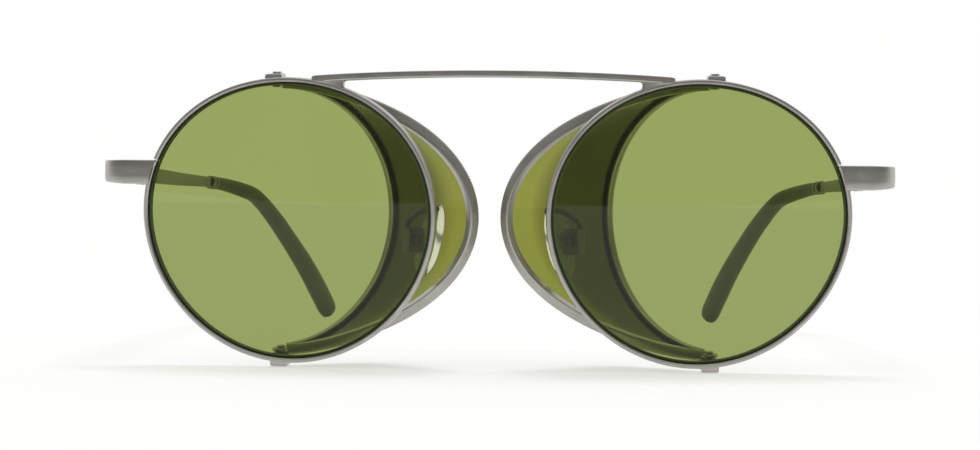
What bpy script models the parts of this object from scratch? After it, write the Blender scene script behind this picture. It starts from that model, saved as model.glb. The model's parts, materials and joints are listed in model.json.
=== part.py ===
"""Round metal sunglasses with swinging side shields.

Metres, +Z up. The front faces -Y. Left and right are the wearer's, so left is +X.
The origin is on the resting surface, midway between the lenses and halfway from the front to the ear tips.
Every piece is drawn once for the left side and mirrored for the right.
"""
import math

import bmesh
import bpy
from mathutils import Euler, Matrix, Vector

MM = 0.001
MERGE_DISTANCE = 0.0001 * MM

# Clearances
GAP = 0.3 * MM
RUNNING_GAP = 0.27 * MM
OVERRUN = 1.0 * MM

# Front
FRONT_DISTANCE = 68.6 * MM
NOSE_HALF_GAP = 8.94 * MM
FACE_FORM = math.radians(8.0)
FRONT_LEAN = math.radians(4.6)

# Rim, measured to its outer edge
RIM_HALF_WIDTH = 24.5 * MM
RIM_HALF_HEIGHT = 22.95 * MM
RIM_FULLNESS = 0.4 * MM
RIM_WALL = 0.95 * MM
RIM_DEPTH = 2.0 * MM
RIM_CHAMFER = 0.25 * MM
GROOVE_DEPTH = 0.5 * MM
GROOVE_WIDTH = 1.3 * MM
RIM_SPLIT = math.radians(24.0)
RIM_SPLIT_GAP = 0.5 * MM
RIM_STEPS = 60

# Lens
LENS_THICKNESS = 1.8 * MM
LENS_BEAD = 0.5 * MM
LENS_BULGE = 1.2 * MM
LENS_STEPS = 48
LENS_RING_SHARES = (0.4, 0.75, 1.0)

# Shield pivots: the line of the two pivot screws behind each lens
PIVOT_OUT = 2.1 * MM
PIVOT_BACK = 2.95 * MM
PIVOT_INSET = 1.35 * MM
EYELET_RADIUS = 1.4 * MM
EYELET_HEIGHT = 0.55 * MM
PIVOT_SHANK_RADIUS = 0.4 * MM
PIVOT_HEAD_RADIUS = 0.78 * MM
PIVOT_HEAD_HEIGHT = 0.4 * MM
PIVOT_NUB_RADIUS = 0.7 * MM
PIVOT_NUB_HEIGHT = 0.3 * MM
LUG_RADIUS = 1.35 * MM
LUG_ABOVE_RIM = 0.35 * MM
LUG_BELOW_RIM = 0.95 * MM
RECESS_TOP = 0.35 * MM
RECESS_BOTTOM = 0.7 * MM

# Shield: a curved panel between a narrow front channel and a wide rear channel
SHIELD_PARKED = math.radians(48.5)
SHIELD_WEDGE = math.radians(42.5)
FRONT_RIM_SIDE_INSET = 2.8 * MM
FRONT_RIM_TOP_INSET = 1.15 * MM
REAR_RIM_OVERHANG = 7.7 * MM
REAR_RIM_TOP_INSET = 2.45 * MM
SHIELD_END_POWER = 12
PANEL_THICKNESS = 0.6 * MM
CHANNEL_WALL = 0.32 * MM
CHANNEL_WEB = 0.35 * MM
CHANNEL_LIP = 1.0 * MM
CHANNEL_LIP_SHARE = 0.28
SHIELD_STEPS = 26
PANEL_END = math.radians(82.0)

# Endpiece, with a barrel hinge behind it
ENDPIECE_REACH = 7.14 * MM
ENDPIECE_THICKNESS = 1.55 * MM
ENDPIECE_CORNER = 4.2 * MM
ENDPIECE_RISE = 9.2 * MM
ENDPIECE_ROOT_HEIGHT = 4.1 * MM
ENDPIECE_ARM_HEIGHT = 3.5 * MM
ENDPIECE_BEVEL = 0.3 * MM
ENDPIECE_ROOT_BACK = 2.9 * MM
ENDPIECE_CORNER_STEPS = 5
HINGE_BACK = 20.0 * MM
BARREL_RADIUS = 1.25 * MM
BARREL_HEIGHT = 2.2 * MM
BARREL_STEPS = 16
WEB_SHARE = 0.9
HINGE_SHANK_RADIUS = 0.42 * MM
HINGE_HEAD_RADIUS = 0.95 * MM
HINGE_HEAD_HEIGHT = 0.3 * MM

# Rim lock: two stacked blocks behind the endpiece, drawn together by a screw
LOCK_FROM_RIM = 1.5 * MM
LOCK_WIDTH = 2.8 * MM
LOCK_DEPTH = 2.2 * MM
LOCK_HEIGHT = 2.8 * MM
LOCK_SCREW_RADIUS = 0.4 * MM
LOCK_HEAD_RADIUS = 0.85 * MM
LOCK_HEAD_HEIGHT = 0.4 * MM

# Temple
TEMPLE_SPLAY = math.radians(1.1)
TEMPLE_REST_SWING = {"left": math.radians(5.2), "right": 0.0}
TEMPLE_BAR_LENGTH = 78.6 * MM
TEMPLE_BAR_SHARES = (0.0, 0.25, 0.5, 0.75, 0.96, 1.0)
TEMPLE_FRONT_HEIGHT = 3.0 * MM
TEMPLE_BACK_HEIGHT = 2.0 * MM
TEMPLE_THICKNESS = 1.5 * MM
TEMPLE_BACK_THICKNESS = 1.3 * MM
TEMPLE_DROP = 1.9 * MM
TEMPLE_BEVEL = 0.3 * MM
CORE_RADIUS = 0.5 * MM
CORE_LENGTH = 30.0 * MM
CORE_SIDES = 8
COLLAR_RADIUS = 1.33 * MM
COLLAR_WAIST_RADIUS = 1.1 * MM
COLLAR_LENGTH = 2.1 * MM

# Ear tip: its route is given as shares of its run back, its inward sweep and its drop
TIP_RUN = 43.0 * MM
TIP_INWARD = 18.6 * MM
TIP_FALL = 28.9 * MM
TIP_ROUTE_SHARES = (
    (0.0, 0.0, 0.0), (0.16, 0.13, 0.012), (0.33, 0.33, 0.062), (0.405, 0.415, 0.125),
    (0.48, 0.49, 0.225), (0.58, 0.595, 0.365), (0.78, 0.81, 0.655), (1.0, 1.0, 1.0),
)
TIP_START_RADIUS = 1.22 * MM
TIP_END_HALF_HEIGHT = 2.35 * MM
TIP_END_HALF_WIDTH = 1.9 * MM
TIP_SWELL_SHARES = ((0.0, 0.0), (0.3, 0.3), (0.6, 0.65), (0.85, 1.0), (0.97, 0.97))
TIP_NOSE_SHARES = ((0.985, 0.8), (1.0, 0.45))
TIP_STEPS = 22
TIP_SIDES = 10

# Nose pads
PAD_FROM_RIM = 4.01 * MM
PAD_BACK = 2.9 * MM
PAD_DROP = 3.3 * MM
PAD_TURN = math.radians(36.9)
PAD_TILT = math.radians(15.0)
PAD_OFFSET = 3.6 * MM
PAD_HALF_THICKNESS = 1.15 * MM
PAD_HALF_WIDTH = 3.3 * MM
PAD_HALF_HEIGHT = 6.2 * MM
PAD_SEGMENTS = 18
PAD_RINGS = 10
TAB_THICKNESS = 0.9 * MM
TAB_RADIUS = 1.1 * MM
PAD_BOX_WALL = 0.45 * MM
PAD_BOX_MOUTH = 1.15 * MM
PAD_BOX_HALF_HEIGHT = 2.0 * MM
PAD_SCREW_RADIUS = 0.4 * MM
PAD_HEAD_RADIUS = 0.9 * MM
PAD_HEAD_HEIGHT = 0.4 * MM
PAD_ARM_RADIUS = 0.45 * MM
PAD_ARM_ANGLE = math.radians(176.0)
PAD_ARM_RISE = 0.7 * MM
PAD_ARM_SIDES = 8
PAD_ARM_STEPS = 12

# Bridge bar
BRIDGE_ABOVE_RIM = 1.27 * MM
BRIDGE_ARCH = 0.95 * MM
BRIDGE_HEIGHT = 1.1 * MM
BRIDGE_DEPTH = 1.9 * MM
BRIDGE_BEVEL = 0.25 * MM
BRIDGE_END_ANGLE = math.radians(100.0)
BRIDGE_SEAT_ANGLE = math.radians(113.5)
BRIDGE_FORK = 0.7 * MM
BRIDGE_SEAT_STEPS = 4
BRIDGE_SPAN_STEPS = 10

SIDES = {"left": 1, "right": -1}
SCREW_STEPS = 12
EYELET_STEPS = 16
SMOOTH_ANGLE = math.radians(35.0)
EDGE_STEP = math.radians(0.5)

# Values that follow from the sizes above
RIM_REACH = RIM_HALF_WIDTH * math.cos(FACE_FORM)
LENS_SPREAD = NOSE_HALF_GAP + RIM_REACH
PIVOT_HALF_HEIGHT = RIM_HALF_HEIGHT - PIVOT_INSET
FRONT_RIM_HALF_WIDTH = RIM_HALF_WIDTH - FRONT_RIM_SIDE_INSET
FRONT_RIM_HALF_HEIGHT = RIM_HALF_HEIGHT - FRONT_RIM_TOP_INSET
REAR_RIM_HALF_WIDTH = RIM_HALF_WIDTH + REAR_RIM_OVERHANG
REAR_RIM_HALF_HEIGHT = RIM_HALF_HEIGHT - REAR_RIM_TOP_INSET
ENDPIECE_OUT = LENS_SPREAD + RIM_REACH + ENDPIECE_REACH
SLOT_HALF = PANEL_THICKNESS / 2 + RUNNING_GAP
CHANNEL_HALF = SLOT_HALF + CHANNEL_WALL
PIVOT_BORE = PIVOT_SHANK_RADIUS + RUNNING_GAP
LUG_INNER = PIVOT_HALF_HEIGHT + EYELET_HEIGHT / 2 + RUNNING_GAP
RIM_TOP = RIM_HALF_HEIGHT - RIM_FULLNESS
RIM_BOTTOM = RIM_HALF_HEIGHT + RIM_FULLNESS
LUG_TOP = RIM_TOP + LUG_ABOVE_RIM
LUG_BOTTOM = RIM_BOTTOM + LUG_BELOW_RIM
LUG_FRONT = RIM_DEPTH / 2 + GAP
LENS_HEIGHT = LUG_BOTTOM * math.cos(FRONT_LEAN) - LUG_FRONT * math.sin(FRONT_LEAN)
ENDPIECE_TOP = LENS_HEIGHT + ENDPIECE_RISE
BRIDGE_TOP = LENS_HEIGHT + RIM_TOP * math.cos(FRONT_LEAN) + BRIDGE_ABOVE_RIM
PAD_PIVOT = Vector((NOSE_HALF_GAP + PAD_FROM_RIM, PAD_BACK, LENS_HEIGHT - PAD_DROP))
ARM_MIDDLE = ENDPIECE_OUT - ENDPIECE_THICKNESS / 2
HINGE_OUT = ENDPIECE_OUT - ENDPIECE_THICKNESS - GAP - BARREL_RADIUS
HINGE_HEIGHT = ENDPIECE_TOP - ENDPIECE_ARM_HEIGHT / 2
KNUCKLE = (BARREL_HEIGHT - 2 * GAP) / 3
HINGE_BORE = HINGE_SHANK_RADIUS + RUNNING_GAP
COLLAR_BORE = CORE_RADIUS + RUNNING_GAP
TIP_START = TEMPLE_BAR_LENGTH + GAP + COLLAR_LENGTH + GAP
PAD_BORE = PAD_SCREW_RADIUS + RUNNING_GAP
PAD_BOX_HALF_DEPTH = TAB_THICKNESS / 2 + GAP + PAD_BOX_WALL
PAD_BOX_BACK = TAB_RADIUS + GAP + PAD_BOX_WALL


# Shape helpers

def mesh_of(bm, name):
    """Finish a bmesh as mesh data with its faces pointing out."""
    bmesh.ops.remove_doubles(bm, verts=bm.verts, dist=MERGE_DISTANCE)
    bmesh.ops.recalc_face_normals(bm, faces=bm.faces)
    data = bpy.data.meshes.new(name)
    bm.to_mesh(data)
    bm.free()
    return data


def evaluated_mesh(obj):
    """The mesh that an object's modifiers or curve settings make; the object itself is removed."""
    bpy.context.view_layer.update()
    depsgraph = bpy.context.evaluated_depsgraph_get()
    data = bpy.data.meshes.new_from_object(obj.evaluated_get(depsgraph))
    bpy.data.objects.remove(obj)
    return data


def temporary_object(data):
    """An object in the drawing collection, for a modifier to work on."""
    obj = bpy.data.objects.new(data.name, data)
    drawing.objects.link(obj)
    return obj


def loft(name, rings, closed=False):
    """Join rings of points into one skin, capped at both ends unless the rings close on themselves."""
    bm = bmesh.new()
    loops = [[bm.verts.new(point) for point in ring] for ring in rings]
    pairs = list(zip(loops, loops[1:])) + ([(loops[-1], loops[0])] if closed else [])
    for here, there in pairs:
        for k, _ in enumerate(here):
            bm.faces.new((here[k - 1], here[k], there[k], there[k - 1]))
    if not closed:
        bm.faces.new(loops[0])
        bm.faces.new(loops[-1])
    return mesh_of(bm, name)


def turned(name, profile, steps, turn=2 * math.pi):
    """Turn a profile of (radius, height) points about Z with a Screw modifier."""
    outline = bpy.data.meshes.new(name)
    points = [(radius, 0, height) for radius, height in profile]
    outline.from_pydata(points, [(k, k + 1) for k in range(len(points) - 1)], [])
    obj = temporary_object(outline)
    screw = obj.modifiers.new("turn", "SCREW")
    screw.angle = turn
    screw.steps = screw.render_steps = steps
    screw.use_merge_vertices = turn == 2 * math.pi
    screw.merge_threshold = MERGE_DISTANCE
    bm = bmesh.new()
    bm.from_mesh(evaluated_mesh(obj))
    bmesh.ops.remove_doubles(bm, verts=bm.verts, dist=MERGE_DISTANCE)
    bmesh.ops.holes_fill(bm, edges=[edge for edge in bm.edges if edge.is_boundary])
    return mesh_of(bm, name)


def plate(name, outlines, low, high):
    """A flat outline, with any holes, drawn as a 2D curve and thickened between two heights."""
    curve = bpy.data.curves.new(name, "CURVE")
    curve.dimensions = "2D"
    curve.fill_mode = "BOTH"
    curve.extrude = (high - low) / 2
    for outline in outlines:
        spline = curve.splines.new("POLY")
        spline.points.add(len(outline) - 1)
        for point, (x, y) in zip(spline.points, outline):
            point.co = (x, y, 0, 1)
        spline.use_cyclic_u = True
    bm = bmesh.new()
    bm.from_mesh(evaluated_mesh(temporary_object(curve)))
    bmesh.ops.translate(bm, verts=bm.verts, vec=(0, 0, (high + low) / 2))
    return mesh_of(bm, name)


def wire(name, points, radius, sides):
    """A round wire along smooth points, as a curve with a bevel and filled caps."""
    curve = bpy.data.curves.new(name, "CURVE")
    curve.dimensions = "3D"
    curve.bevel_depth = radius
    curve.bevel_resolution = sides // 2 - 2
    curve.use_fill_caps = True
    spline = curve.splines.new("POLY")
    spline.points.add(len(points) - 1)
    for target, point in zip(spline.points, points):
        target.co = (*point, 1)
    bm = bmesh.new()
    bm.from_mesh(evaluated_mesh(temporary_object(curve)))
    return mesh_of(bm, name)


def arc(radius, start, end, steps, centre=(0, 0)):
    """Points on a flat arc, both ends included."""
    angles = [start + (end - start) * k / steps for k in range(steps + 1)]
    return [(centre[0] + radius * math.cos(a), centre[1] + radius * math.sin(a)) for a in angles]


def circle(radius, steps, turn=0.0):
    """Points round a whole circle, the first of them turned from the X axis."""
    return arc(radius, turn, turn + 2 * math.pi, steps)[:-1]


def rectangle(half_x, half_y, bevel):
    """A rectangle's outline with cut corners."""
    x, y = half_x - bevel, half_y - bevel
    return [(half_x, -y), (half_x, y), (x, half_y), (-x, half_y),
            (-half_x, y), (-half_x, -y), (-x, -half_y), (x, -half_y)]


def moved(data, matrix):
    data.transform(matrix)
    return data


def cylinder(name, radius, low, high, steps):
    return turned(name, [(0, high), (radius, high), (radius, low), (0, low)], steps)


def combined(operation, first, *others):
    """Unite meshes, or cut the others away from the first, with Boolean modifiers."""
    obj = temporary_object(first)
    tools = [temporary_object(data) for data in others]
    for tool in tools:
        step = obj.modifiers.new(operation.lower(), "BOOLEAN")
        step.operation = operation
        step.solver = "EXACT"
        step.object = tool
        tool.hide_render = True
        tool.display_type = "WIRE"
    bm = bmesh.new()
    bm.from_mesh(evaluated_mesh(obj))
    for tool in tools:
        bpy.data.objects.remove(tool)
    return mesh_of(bm, first.name)


def mirrored(data, signs=(-1, 1, 1)):
    """A mirror image, left to right unless other signs are given."""
    bm = bmesh.new()
    bm.from_mesh(data)
    bmesh.ops.scale(bm, verts=bm.verts, vec=signs)
    bmesh.ops.reverse_faces(bm, faces=bm.faces)
    return mesh_of(bm, data.name)


def smooth_through(points, steps):
    """Points of a Catmull-Rom curve through the given ones."""
    points = [Vector(point) for point in points]
    ends = [2 * points[0] - points[1], *points, 2 * points[-1] - points[-2]]
    curve = []
    for k in range(steps + 1):
        place = k / steps * (len(points) - 1)
        span = min(int(place), len(points) - 2)
        t = place - span
        a, b, c, d = ends[span:span + 4]
        curve.append(0.5 * (2 * b + (c - a) * t + (2 * a - 5 * b + 4 * c - d) * t ** 2
                            + (3 * b - a - 3 * c + d) * t ** 3))
    return curve


def between(table, share):
    """Read a table of (share, value) pairs at one share."""
    for (x0, y0), (x1, y1) in zip(table, table[1:]):
        if share <= x1:
            return y0 + (y1 - y0) * (share - x0) / (x1 - x0)
    return table[-1][1]


# Lens outline and the frames that the pieces are placed in

def rim_outline(angle, inset=0.0):
    """A point of the rim's outer edge in the lens plane, or of a line set in from it."""
    fullness = RIM_FULLNESS * math.sin(3 * angle)
    return ((RIM_HALF_WIDTH + fullness - inset) * math.cos(angle),
            (RIM_HALF_HEIGHT + fullness - inset) * math.sin(angle))


def frame(name, location, rotation, parent=None):
    """An empty on each side, the right one mirrored, held by the frame of the whole front at first."""
    pair = {}
    for side, sign in SIDES.items():
        empty = bpy.data.objects.new(f"{name}_{side}", None)
        empty.empty_display_size = LUG_RADIUS
        x, y, z = location
        empty.location = (sign * x, y, z)
        about_x, about_z = rotation if not callable(rotation) else rotation(side)
        empty.rotation_euler = (about_x, 0, sign * about_z)
        empty.parent = parent[side] if parent else front
        model.objects.link(empty)
        pair[side] = empty
    return pair


def lens_matrix():
    """The left lens frame: X outwards, Y backwards and Z up in the lens plane."""
    turn = Euler((FRONT_LEAN, 0, FACE_FORM)).to_matrix().to_4x4()
    return Matrix.Translation((LENS_SPREAD, 0, LENS_HEIGHT)) @ turn


def rim_point(angle, back=0.0, inset=0.0):
    """A point beside the left rim, in the front's coordinates."""
    x, z = rim_outline(angle, inset)
    return lens_matrix() @ Vector((x, back, z))


def add_pair(name, data, holder, material):
    """Put a left-hand mesh on the left frame and its mirror image on the right one."""
    for side in SIDES:
        mesh = data.copy() if side == "left" else mirrored(data)
        add_part(f"{name}_{side}", mesh, material, holder[side] if holder else front)


def add_part(name, data, material, parent):
    data.name = name
    data.shade_smooth()
    data.set_sharp_from_angle(angle=SMOOTH_ANGLE)
    data.materials.clear()
    data.materials.append(material)
    obj = bpy.data.objects.new(name, data)
    obj.parent = parent
    model.objects.link(obj)


def make_material(name, colour, roughness, metallic, alpha=1.0):
    material = bpy.data.materials.new(name)
    material.use_nodes = True
    shader = material.node_tree.nodes["Principled BSDF"]
    shader.inputs["Base Color"].default_value = (*colour, 1)
    shader.inputs["Roughness"].default_value = roughness
    shader.inputs["Metallic"].default_value = metallic
    shader.inputs["Alpha"].default_value = alpha
    material.diffuse_color = (*colour, alpha)
    return material


# Rim and lens

def on_outline(data, place):
    """Bend a turned ring, whose axis points forwards, from a circle to the lens outline."""
    data.transform(Matrix.Rotation(math.pi / 2, 4, "X"))
    for vertex in data.vertices:
        x, y, z = vertex.co
        radius, angle = math.hypot(x, z), math.atan2(z, x)
        new_x, new_z = place(radius, angle)
        vertex.co = (new_x, y, new_z)
    return data


def rim_mesh():
    """A split eyewire: chamfered outside, with a V groove inside for the lens."""
    half = RIM_DEPTH / 2
    inner = RIM_HALF_WIDTH - RIM_WALL
    section = [
        (inner, GROOVE_WIDTH / 2), (inner, half), (RIM_HALF_WIDTH - RIM_CHAMFER, half),
        (RIM_HALF_WIDTH, half - RIM_CHAMFER), (RIM_HALF_WIDTH, RIM_CHAMFER - half),
        (RIM_HALF_WIDTH - RIM_CHAMFER, -half), (inner, -half), (inner, -GROOVE_WIDTH / 2),
        (inner + GROOVE_DEPTH, 0), (inner, GROOVE_WIDTH / 2),
    ]
    split = RIM_SPLIT_GAP / RIM_HALF_WIDTH
    ring = turned("rim", section, RIM_STEPS, 2 * math.pi - split)
    ring.transform(Matrix.Rotation(RIM_SPLIT + split / 2, 4, "Z"))
    return on_outline(ring, lambda radius, angle: rim_outline(angle, RIM_HALF_WIDTH - radius))


def lens_mesh():
    """A lens of even thickness, bulged forwards, with a V bead that sits in the rim's groove."""
    inset = RIM_WALL - GROOVE_DEPTH + GAP
    edge = RIM_HALF_WIDTH - inset
    shoulder = edge - LENS_BEAD
    half = LENS_THICKNESS / 2
    bow = [(0.0, LENS_BULGE)] + [(s * shoulder, LENS_BULGE * (1 - s * s)) for s in LENS_RING_SHARES]
    bead = min(half, GROOVE_WIDTH / 2 - GAP)
    profile = [(r, z + half) for r, z in bow]
    profile += [(shoulder, bead), (edge, 0), (shoulder, -bead)]
    profile += [(r, z - half) for r, z in reversed(bow)]

    def place(radius, angle):
        x, z = rim_outline(angle, inset)
        return x * radius / edge, z * radius / edge

    return on_outline(turned("lens", profile, LENS_STEPS), place)


# Side shield

def shield_edge(half_width, half_height, plane, angle):
    """A point on a half-oval edge that starts and ends on the pivot line.

    The edge lies in a plane turned forwards about the pivot line. Its height is eased to the pivots' height
    at the ends.
    """
    rise = math.sin(angle)
    height = half_height + (PIVOT_HALF_HEIGHT - half_height) * abs(rise) ** SHIELD_END_POWER
    reach = half_width * math.cos(angle)
    return Vector((-reach * math.cos(plane), -reach * math.sin(plane), height * rise))


def front_edge(angle):
    return shield_edge(FRONT_RIM_HALF_WIDTH, FRONT_RIM_HALF_HEIGHT, 0.0, angle)


def rear_edge(angle):
    return shield_edge(REAR_RIM_HALF_WIDTH, REAR_RIM_HALF_HEIGHT, SHIELD_WEDGE, angle)


def edge_axes(edge, opposite, angle):
    """At one point of an edge: the direction across the panel, the panel's normal and its width."""
    along = (edge(angle + EDGE_STEP) - edge(angle - EDGE_STEP)).normalized()
    across = opposite(angle) - edge(angle)
    normal = along.cross(across).normalized()
    return normal.cross(along).normalized(), normal, across.length


def channel_mesh(name, edge, opposite, half_width):
    """A U channel bent round one edge of the panel, its lips towards the opposite edge."""
    end = math.acos((EYELET_RADIUS + GAP) / half_width)
    rings = []
    for k in range(SHIELD_STEPS + 1):
        angle = end * (2 * k / SHIELD_STEPS - 1)
        across, normal, width = edge_axes(edge, opposite, angle)
        if across.dot(opposite(angle) - edge(angle)) < 0:
            across = -across
        lip = min(CHANNEL_LIP, CHANNEL_LIP_SHARE * width)
        section = [(-CHANNEL_WEB, -CHANNEL_HALF), (lip, -CHANNEL_HALF), (lip, -SLOT_HALF), (0, -SLOT_HALF),
                   (0, SLOT_HALF), (lip, SLOT_HALF), (lip, CHANNEL_HALF), (-CHANNEL_WEB, CHANNEL_HALF)]
        rings.append([edge(angle) + u * across + v * normal for u, v in section])
    return loft(name, rings)


def panel_mesh():
    """The tinted sheet between the two channels, set into both with a running gap."""
    rings = []
    half = PANEL_THICKNESS / 2
    for k in range(SHIELD_STEPS + 1):
        angle = PANEL_END * (2 * k / SHIELD_STEPS - 1)
        corners = []
        for edge, opposite in ((front_edge, rear_edge), (rear_edge, front_edge)):
            across, normal, _ = edge_axes(edge, opposite, angle)
            if across.dot(opposite(angle) - edge(angle)) < 0:
                across = -across
            if normal.dot(edge(angle)) < 0:
                normal = -normal
            seat = edge(angle) + GAP * across
            corners.append((seat - half * normal, seat + half * normal))
        (inner_a, outer_a), (inner_b, outer_b) = corners
        middle_in, middle_out = (inner_a + inner_b) / 2, (outer_a + outer_b) / 2
        rings.append([inner_a, middle_in, inner_b, outer_b, middle_out, outer_a])
    return loft("shield_panel", rings)


def eyelet_mesh(height):
    """A flat ring on the pivot line, to which both channels are brazed."""
    half = EYELET_HEIGHT / 2
    section = [(PIVOT_BORE, half), (EYELET_RADIUS, half), (EYELET_RADIUS, -half), (PIVOT_BORE, -half)]
    ring = turned("shield_eyelet", section + section[:1], EYELET_STEPS)
    return moved(ring, Matrix.Translation((0, 0, height)))


def lug_mesh(outer_face, recess):
    """A lug behind the rim: round at the pivot, flat towards the rim, recessed for the screw's head."""
    front = LUG_FRONT - PIVOT_BACK
    outline = [(-LUG_RADIUS, front), (LUG_RADIUS, front)] + arc(LUG_RADIUS, 0, math.pi, SCREW_STEPS)
    seat = outer_face - recess
    head_hole = PIVOT_HEAD_RADIUS + RUNNING_GAP
    hole = turned("lug_hole", [
        (0, outer_face + OVERRUN), (head_hole, outer_face + OVERRUN), (head_hole, seat),
        (PIVOT_BORE, seat), (PIVOT_BORE, LUG_INNER - OVERRUN), (0, LUG_INNER - OVERRUN),
    ], SCREW_STEPS)
    return combined("DIFFERENCE", plate("shield_lug", [outline], LUG_INNER, outer_face), hole)


def pivot_screw_mesh(outer_face, recess):
    """A shoulder screw through the lug and the eyelet, its inner end riveted over."""
    head = outer_face - recess + RUNNING_GAP
    nub = PIVOT_HALF_HEIGHT - EYELET_HEIGHT / 2 - RUNNING_GAP
    return turned("pivot_screw", [
        (0, head + PIVOT_HEAD_HEIGHT), (PIVOT_HEAD_RADIUS, head + PIVOT_HEAD_HEIGHT),
        (PIVOT_HEAD_RADIUS, head), (PIVOT_SHANK_RADIUS, head), (PIVOT_SHANK_RADIUS, nub),
        (PIVOT_NUB_RADIUS, nub), (PIVOT_NUB_RADIUS, nub - PIVOT_NUB_HEIGHT), (0, nub - PIVOT_NUB_HEIGHT),
    ], SCREW_STEPS)


# Endpiece, rim lock and hinge

def endpiece_mesh():
    """A plate that leaves the rim outwards, turns back at a round corner and ends in two knuckles."""
    half = ENDPIECE_THICKNESS / 2
    root_low = ENDPIECE_TOP - ENDPIECE_ROOT_HEIGHT
    arm_low = ENDPIECE_TOP - ENDPIECE_ARM_HEIGHT
    corner = (ARM_MIDDLE - ENDPIECE_CORNER, ENDPIECE_ROOT_BACK + ENDPIECE_CORNER)
    plan = arc(ENDPIECE_CORNER, -math.pi / 2, 0, ENDPIECE_CORNER_STEPS, corner)
    headings = [math.pi / 2 * k / ENDPIECE_CORNER_STEPS for k in range(ENDPIECE_CORNER_STEPS + 1)]
    plan.append((ARM_MIDDLE, HINGE_BACK - GAP / 2))
    headings.append(math.pi / 2)
    rings = [endpiece_root(root_low, half)]
    for (x, y), heading in zip(plan, headings):
        share = heading / (math.pi / 2)
        low = root_low + (arm_low - root_low) * share
        middle = (ENDPIECE_TOP + low) / 2
        outwards = Vector((math.sin(heading), -math.cos(heading), 0))
        section = rectangle(half, (ENDPIECE_TOP - low) / 2, ENDPIECE_BEVEL)
        rings.append([Vector((x, y, middle)) + u * outwards + Vector((0, 0, v)) for u, v in section])
    solids = [loft("endpiece", rings)]
    for level in (-1, 1):
        solids.append(knuckle(level * (KNUCKLE + GAP), -1))
    return combined("UNION", *solids)


def endpiece_root(low, half):
    """The endpiece's first section, cut to the rim's curve with a gap."""
    middle = (ENDPIECE_TOP + low) / 2
    ring = []
    for u, v in rectangle(half, (ENDPIECE_TOP - low) / 2, ENDPIECE_BEVEL):
        height = middle + v
        angle = math.asin((height - LENS_HEIGHT) / RIM_HALF_HEIGHT)
        ring.append(Vector((rim_point(angle).x + GAP + RIM_CHAMFER / 2, ENDPIECE_ROOT_BACK - u, height)))
    return ring


def hinge_matrix():
    return Matrix.Translation((HINGE_OUT, HINGE_BACK, HINGE_HEIGHT))


def knuckle(level, backwards):
    """One bored knuckle with the web that joins it to its bar, in front of the hinge line or behind it."""
    near, far = math.asin(GAP / BARREL_RADIUS), math.asin(WEB_SHARE)
    reach = BARREL_RADIUS + GAP + ENDPIECE_THICKNESS / 3
    outline = arc(BARREL_RADIUS, far, 2 * math.pi + near, BARREL_STEPS)
    outline += [(reach, GAP), (reach, BARREL_RADIUS * WEB_SHARE)]
    outline = [(x, backwards * y) for x, y in outline]
    holes = circle(HINGE_BORE, SCREW_STEPS)
    data = plate("knuckle", [outline, holes], level - KNUCKLE / 2, level + KNUCKLE / 2)
    return moved(data, hinge_matrix())


def hinge_screw_mesh():
    top = BARREL_HEIGHT / 2 + RUNNING_GAP
    return turned("hinge_screw", [
        (0, top + HINGE_HEAD_HEIGHT), (HINGE_HEAD_RADIUS, top + HINGE_HEAD_HEIGHT), (HINGE_HEAD_RADIUS, top),
        (HINGE_SHANK_RADIUS, top), (HINGE_SHANK_RADIUS, -BARREL_HEIGHT / 2), (0, -BARREL_HEIGHT / 2),
    ], SCREW_STEPS)


def lock_place():
    """The rim lock's screw line, behind the endpiece and beside the rim."""
    edge = rim_point(RIM_SPLIT).x
    x = edge + LOCK_FROM_RIM + LOCK_WIDTH / 2
    y = ENDPIECE_ROOT_BACK + ENDPIECE_THICKNESS / 2 + GAP + LOCK_DEPTH / 2
    return Vector((x, y, ENDPIECE_TOP - ENDPIECE_ROOT_HEIGHT / 2))


def lock_block_mesh(low, high):
    outline = rectangle(LOCK_WIDTH / 2, LOCK_DEPTH / 2, ENDPIECE_BEVEL)
    bore = circle(LOCK_SCREW_RADIUS + RUNNING_GAP, SCREW_STEPS)
    return plate("rim_lock", [outline, bore], low, high)


def lock_screw_mesh():
    """A screw from below, its end level with the upper block's top."""
    low = -LOCK_HEIGHT / 2 - RUNNING_GAP
    return turned("rim_lock_screw", [
        (0, LOCK_HEIGHT / 2), (LOCK_SCREW_RADIUS, LOCK_HEIGHT / 2), (LOCK_SCREW_RADIUS, low),
        (LOCK_HEAD_RADIUS, low), (LOCK_HEAD_RADIUS, low - LOCK_HEAD_HEIGHT), (0, low - LOCK_HEAD_HEIGHT),
    ], SCREW_STEPS)


# Temple, drawn straight back from the hinge line

def temple_line():
    """The temple's middle line, as (distance back, inward, height) from the hinge line."""
    route = [Vector((along * TIP_RUN, inward * TIP_INWARD, -fall * TIP_FALL))
             for along, inward, fall in TIP_ROUTE_SHARES]
    start = Vector((TEMPLE_BAR_LENGTH, 0, -TEMPLE_DROP))
    return [start + point for point in smooth_through(route, TIP_STEPS)]


def temple_place(point):
    """Turn (distance back, inward, height) into the hinge frame: X outwards, Y backwards, Z up."""
    back, inward, height = point
    return Vector((ARM_MIDDLE - HINGE_OUT - inward, back, height))


def station(line, k, half_out, half_up, outline):
    """A section of given half sizes, square to a line at its k-th point."""
    ahead = temple_place(line[min(k + 1, len(line) - 1)]) - temple_place(line[max(k - 1, 0)])
    ahead.normalize()
    out = ahead.cross(Vector((0, 0, 1))).normalized()
    up = out.cross(ahead)
    centre = temple_place(line[k])
    return [centre + u * half_out * out + v * half_up * up for u, v in outline]


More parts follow.
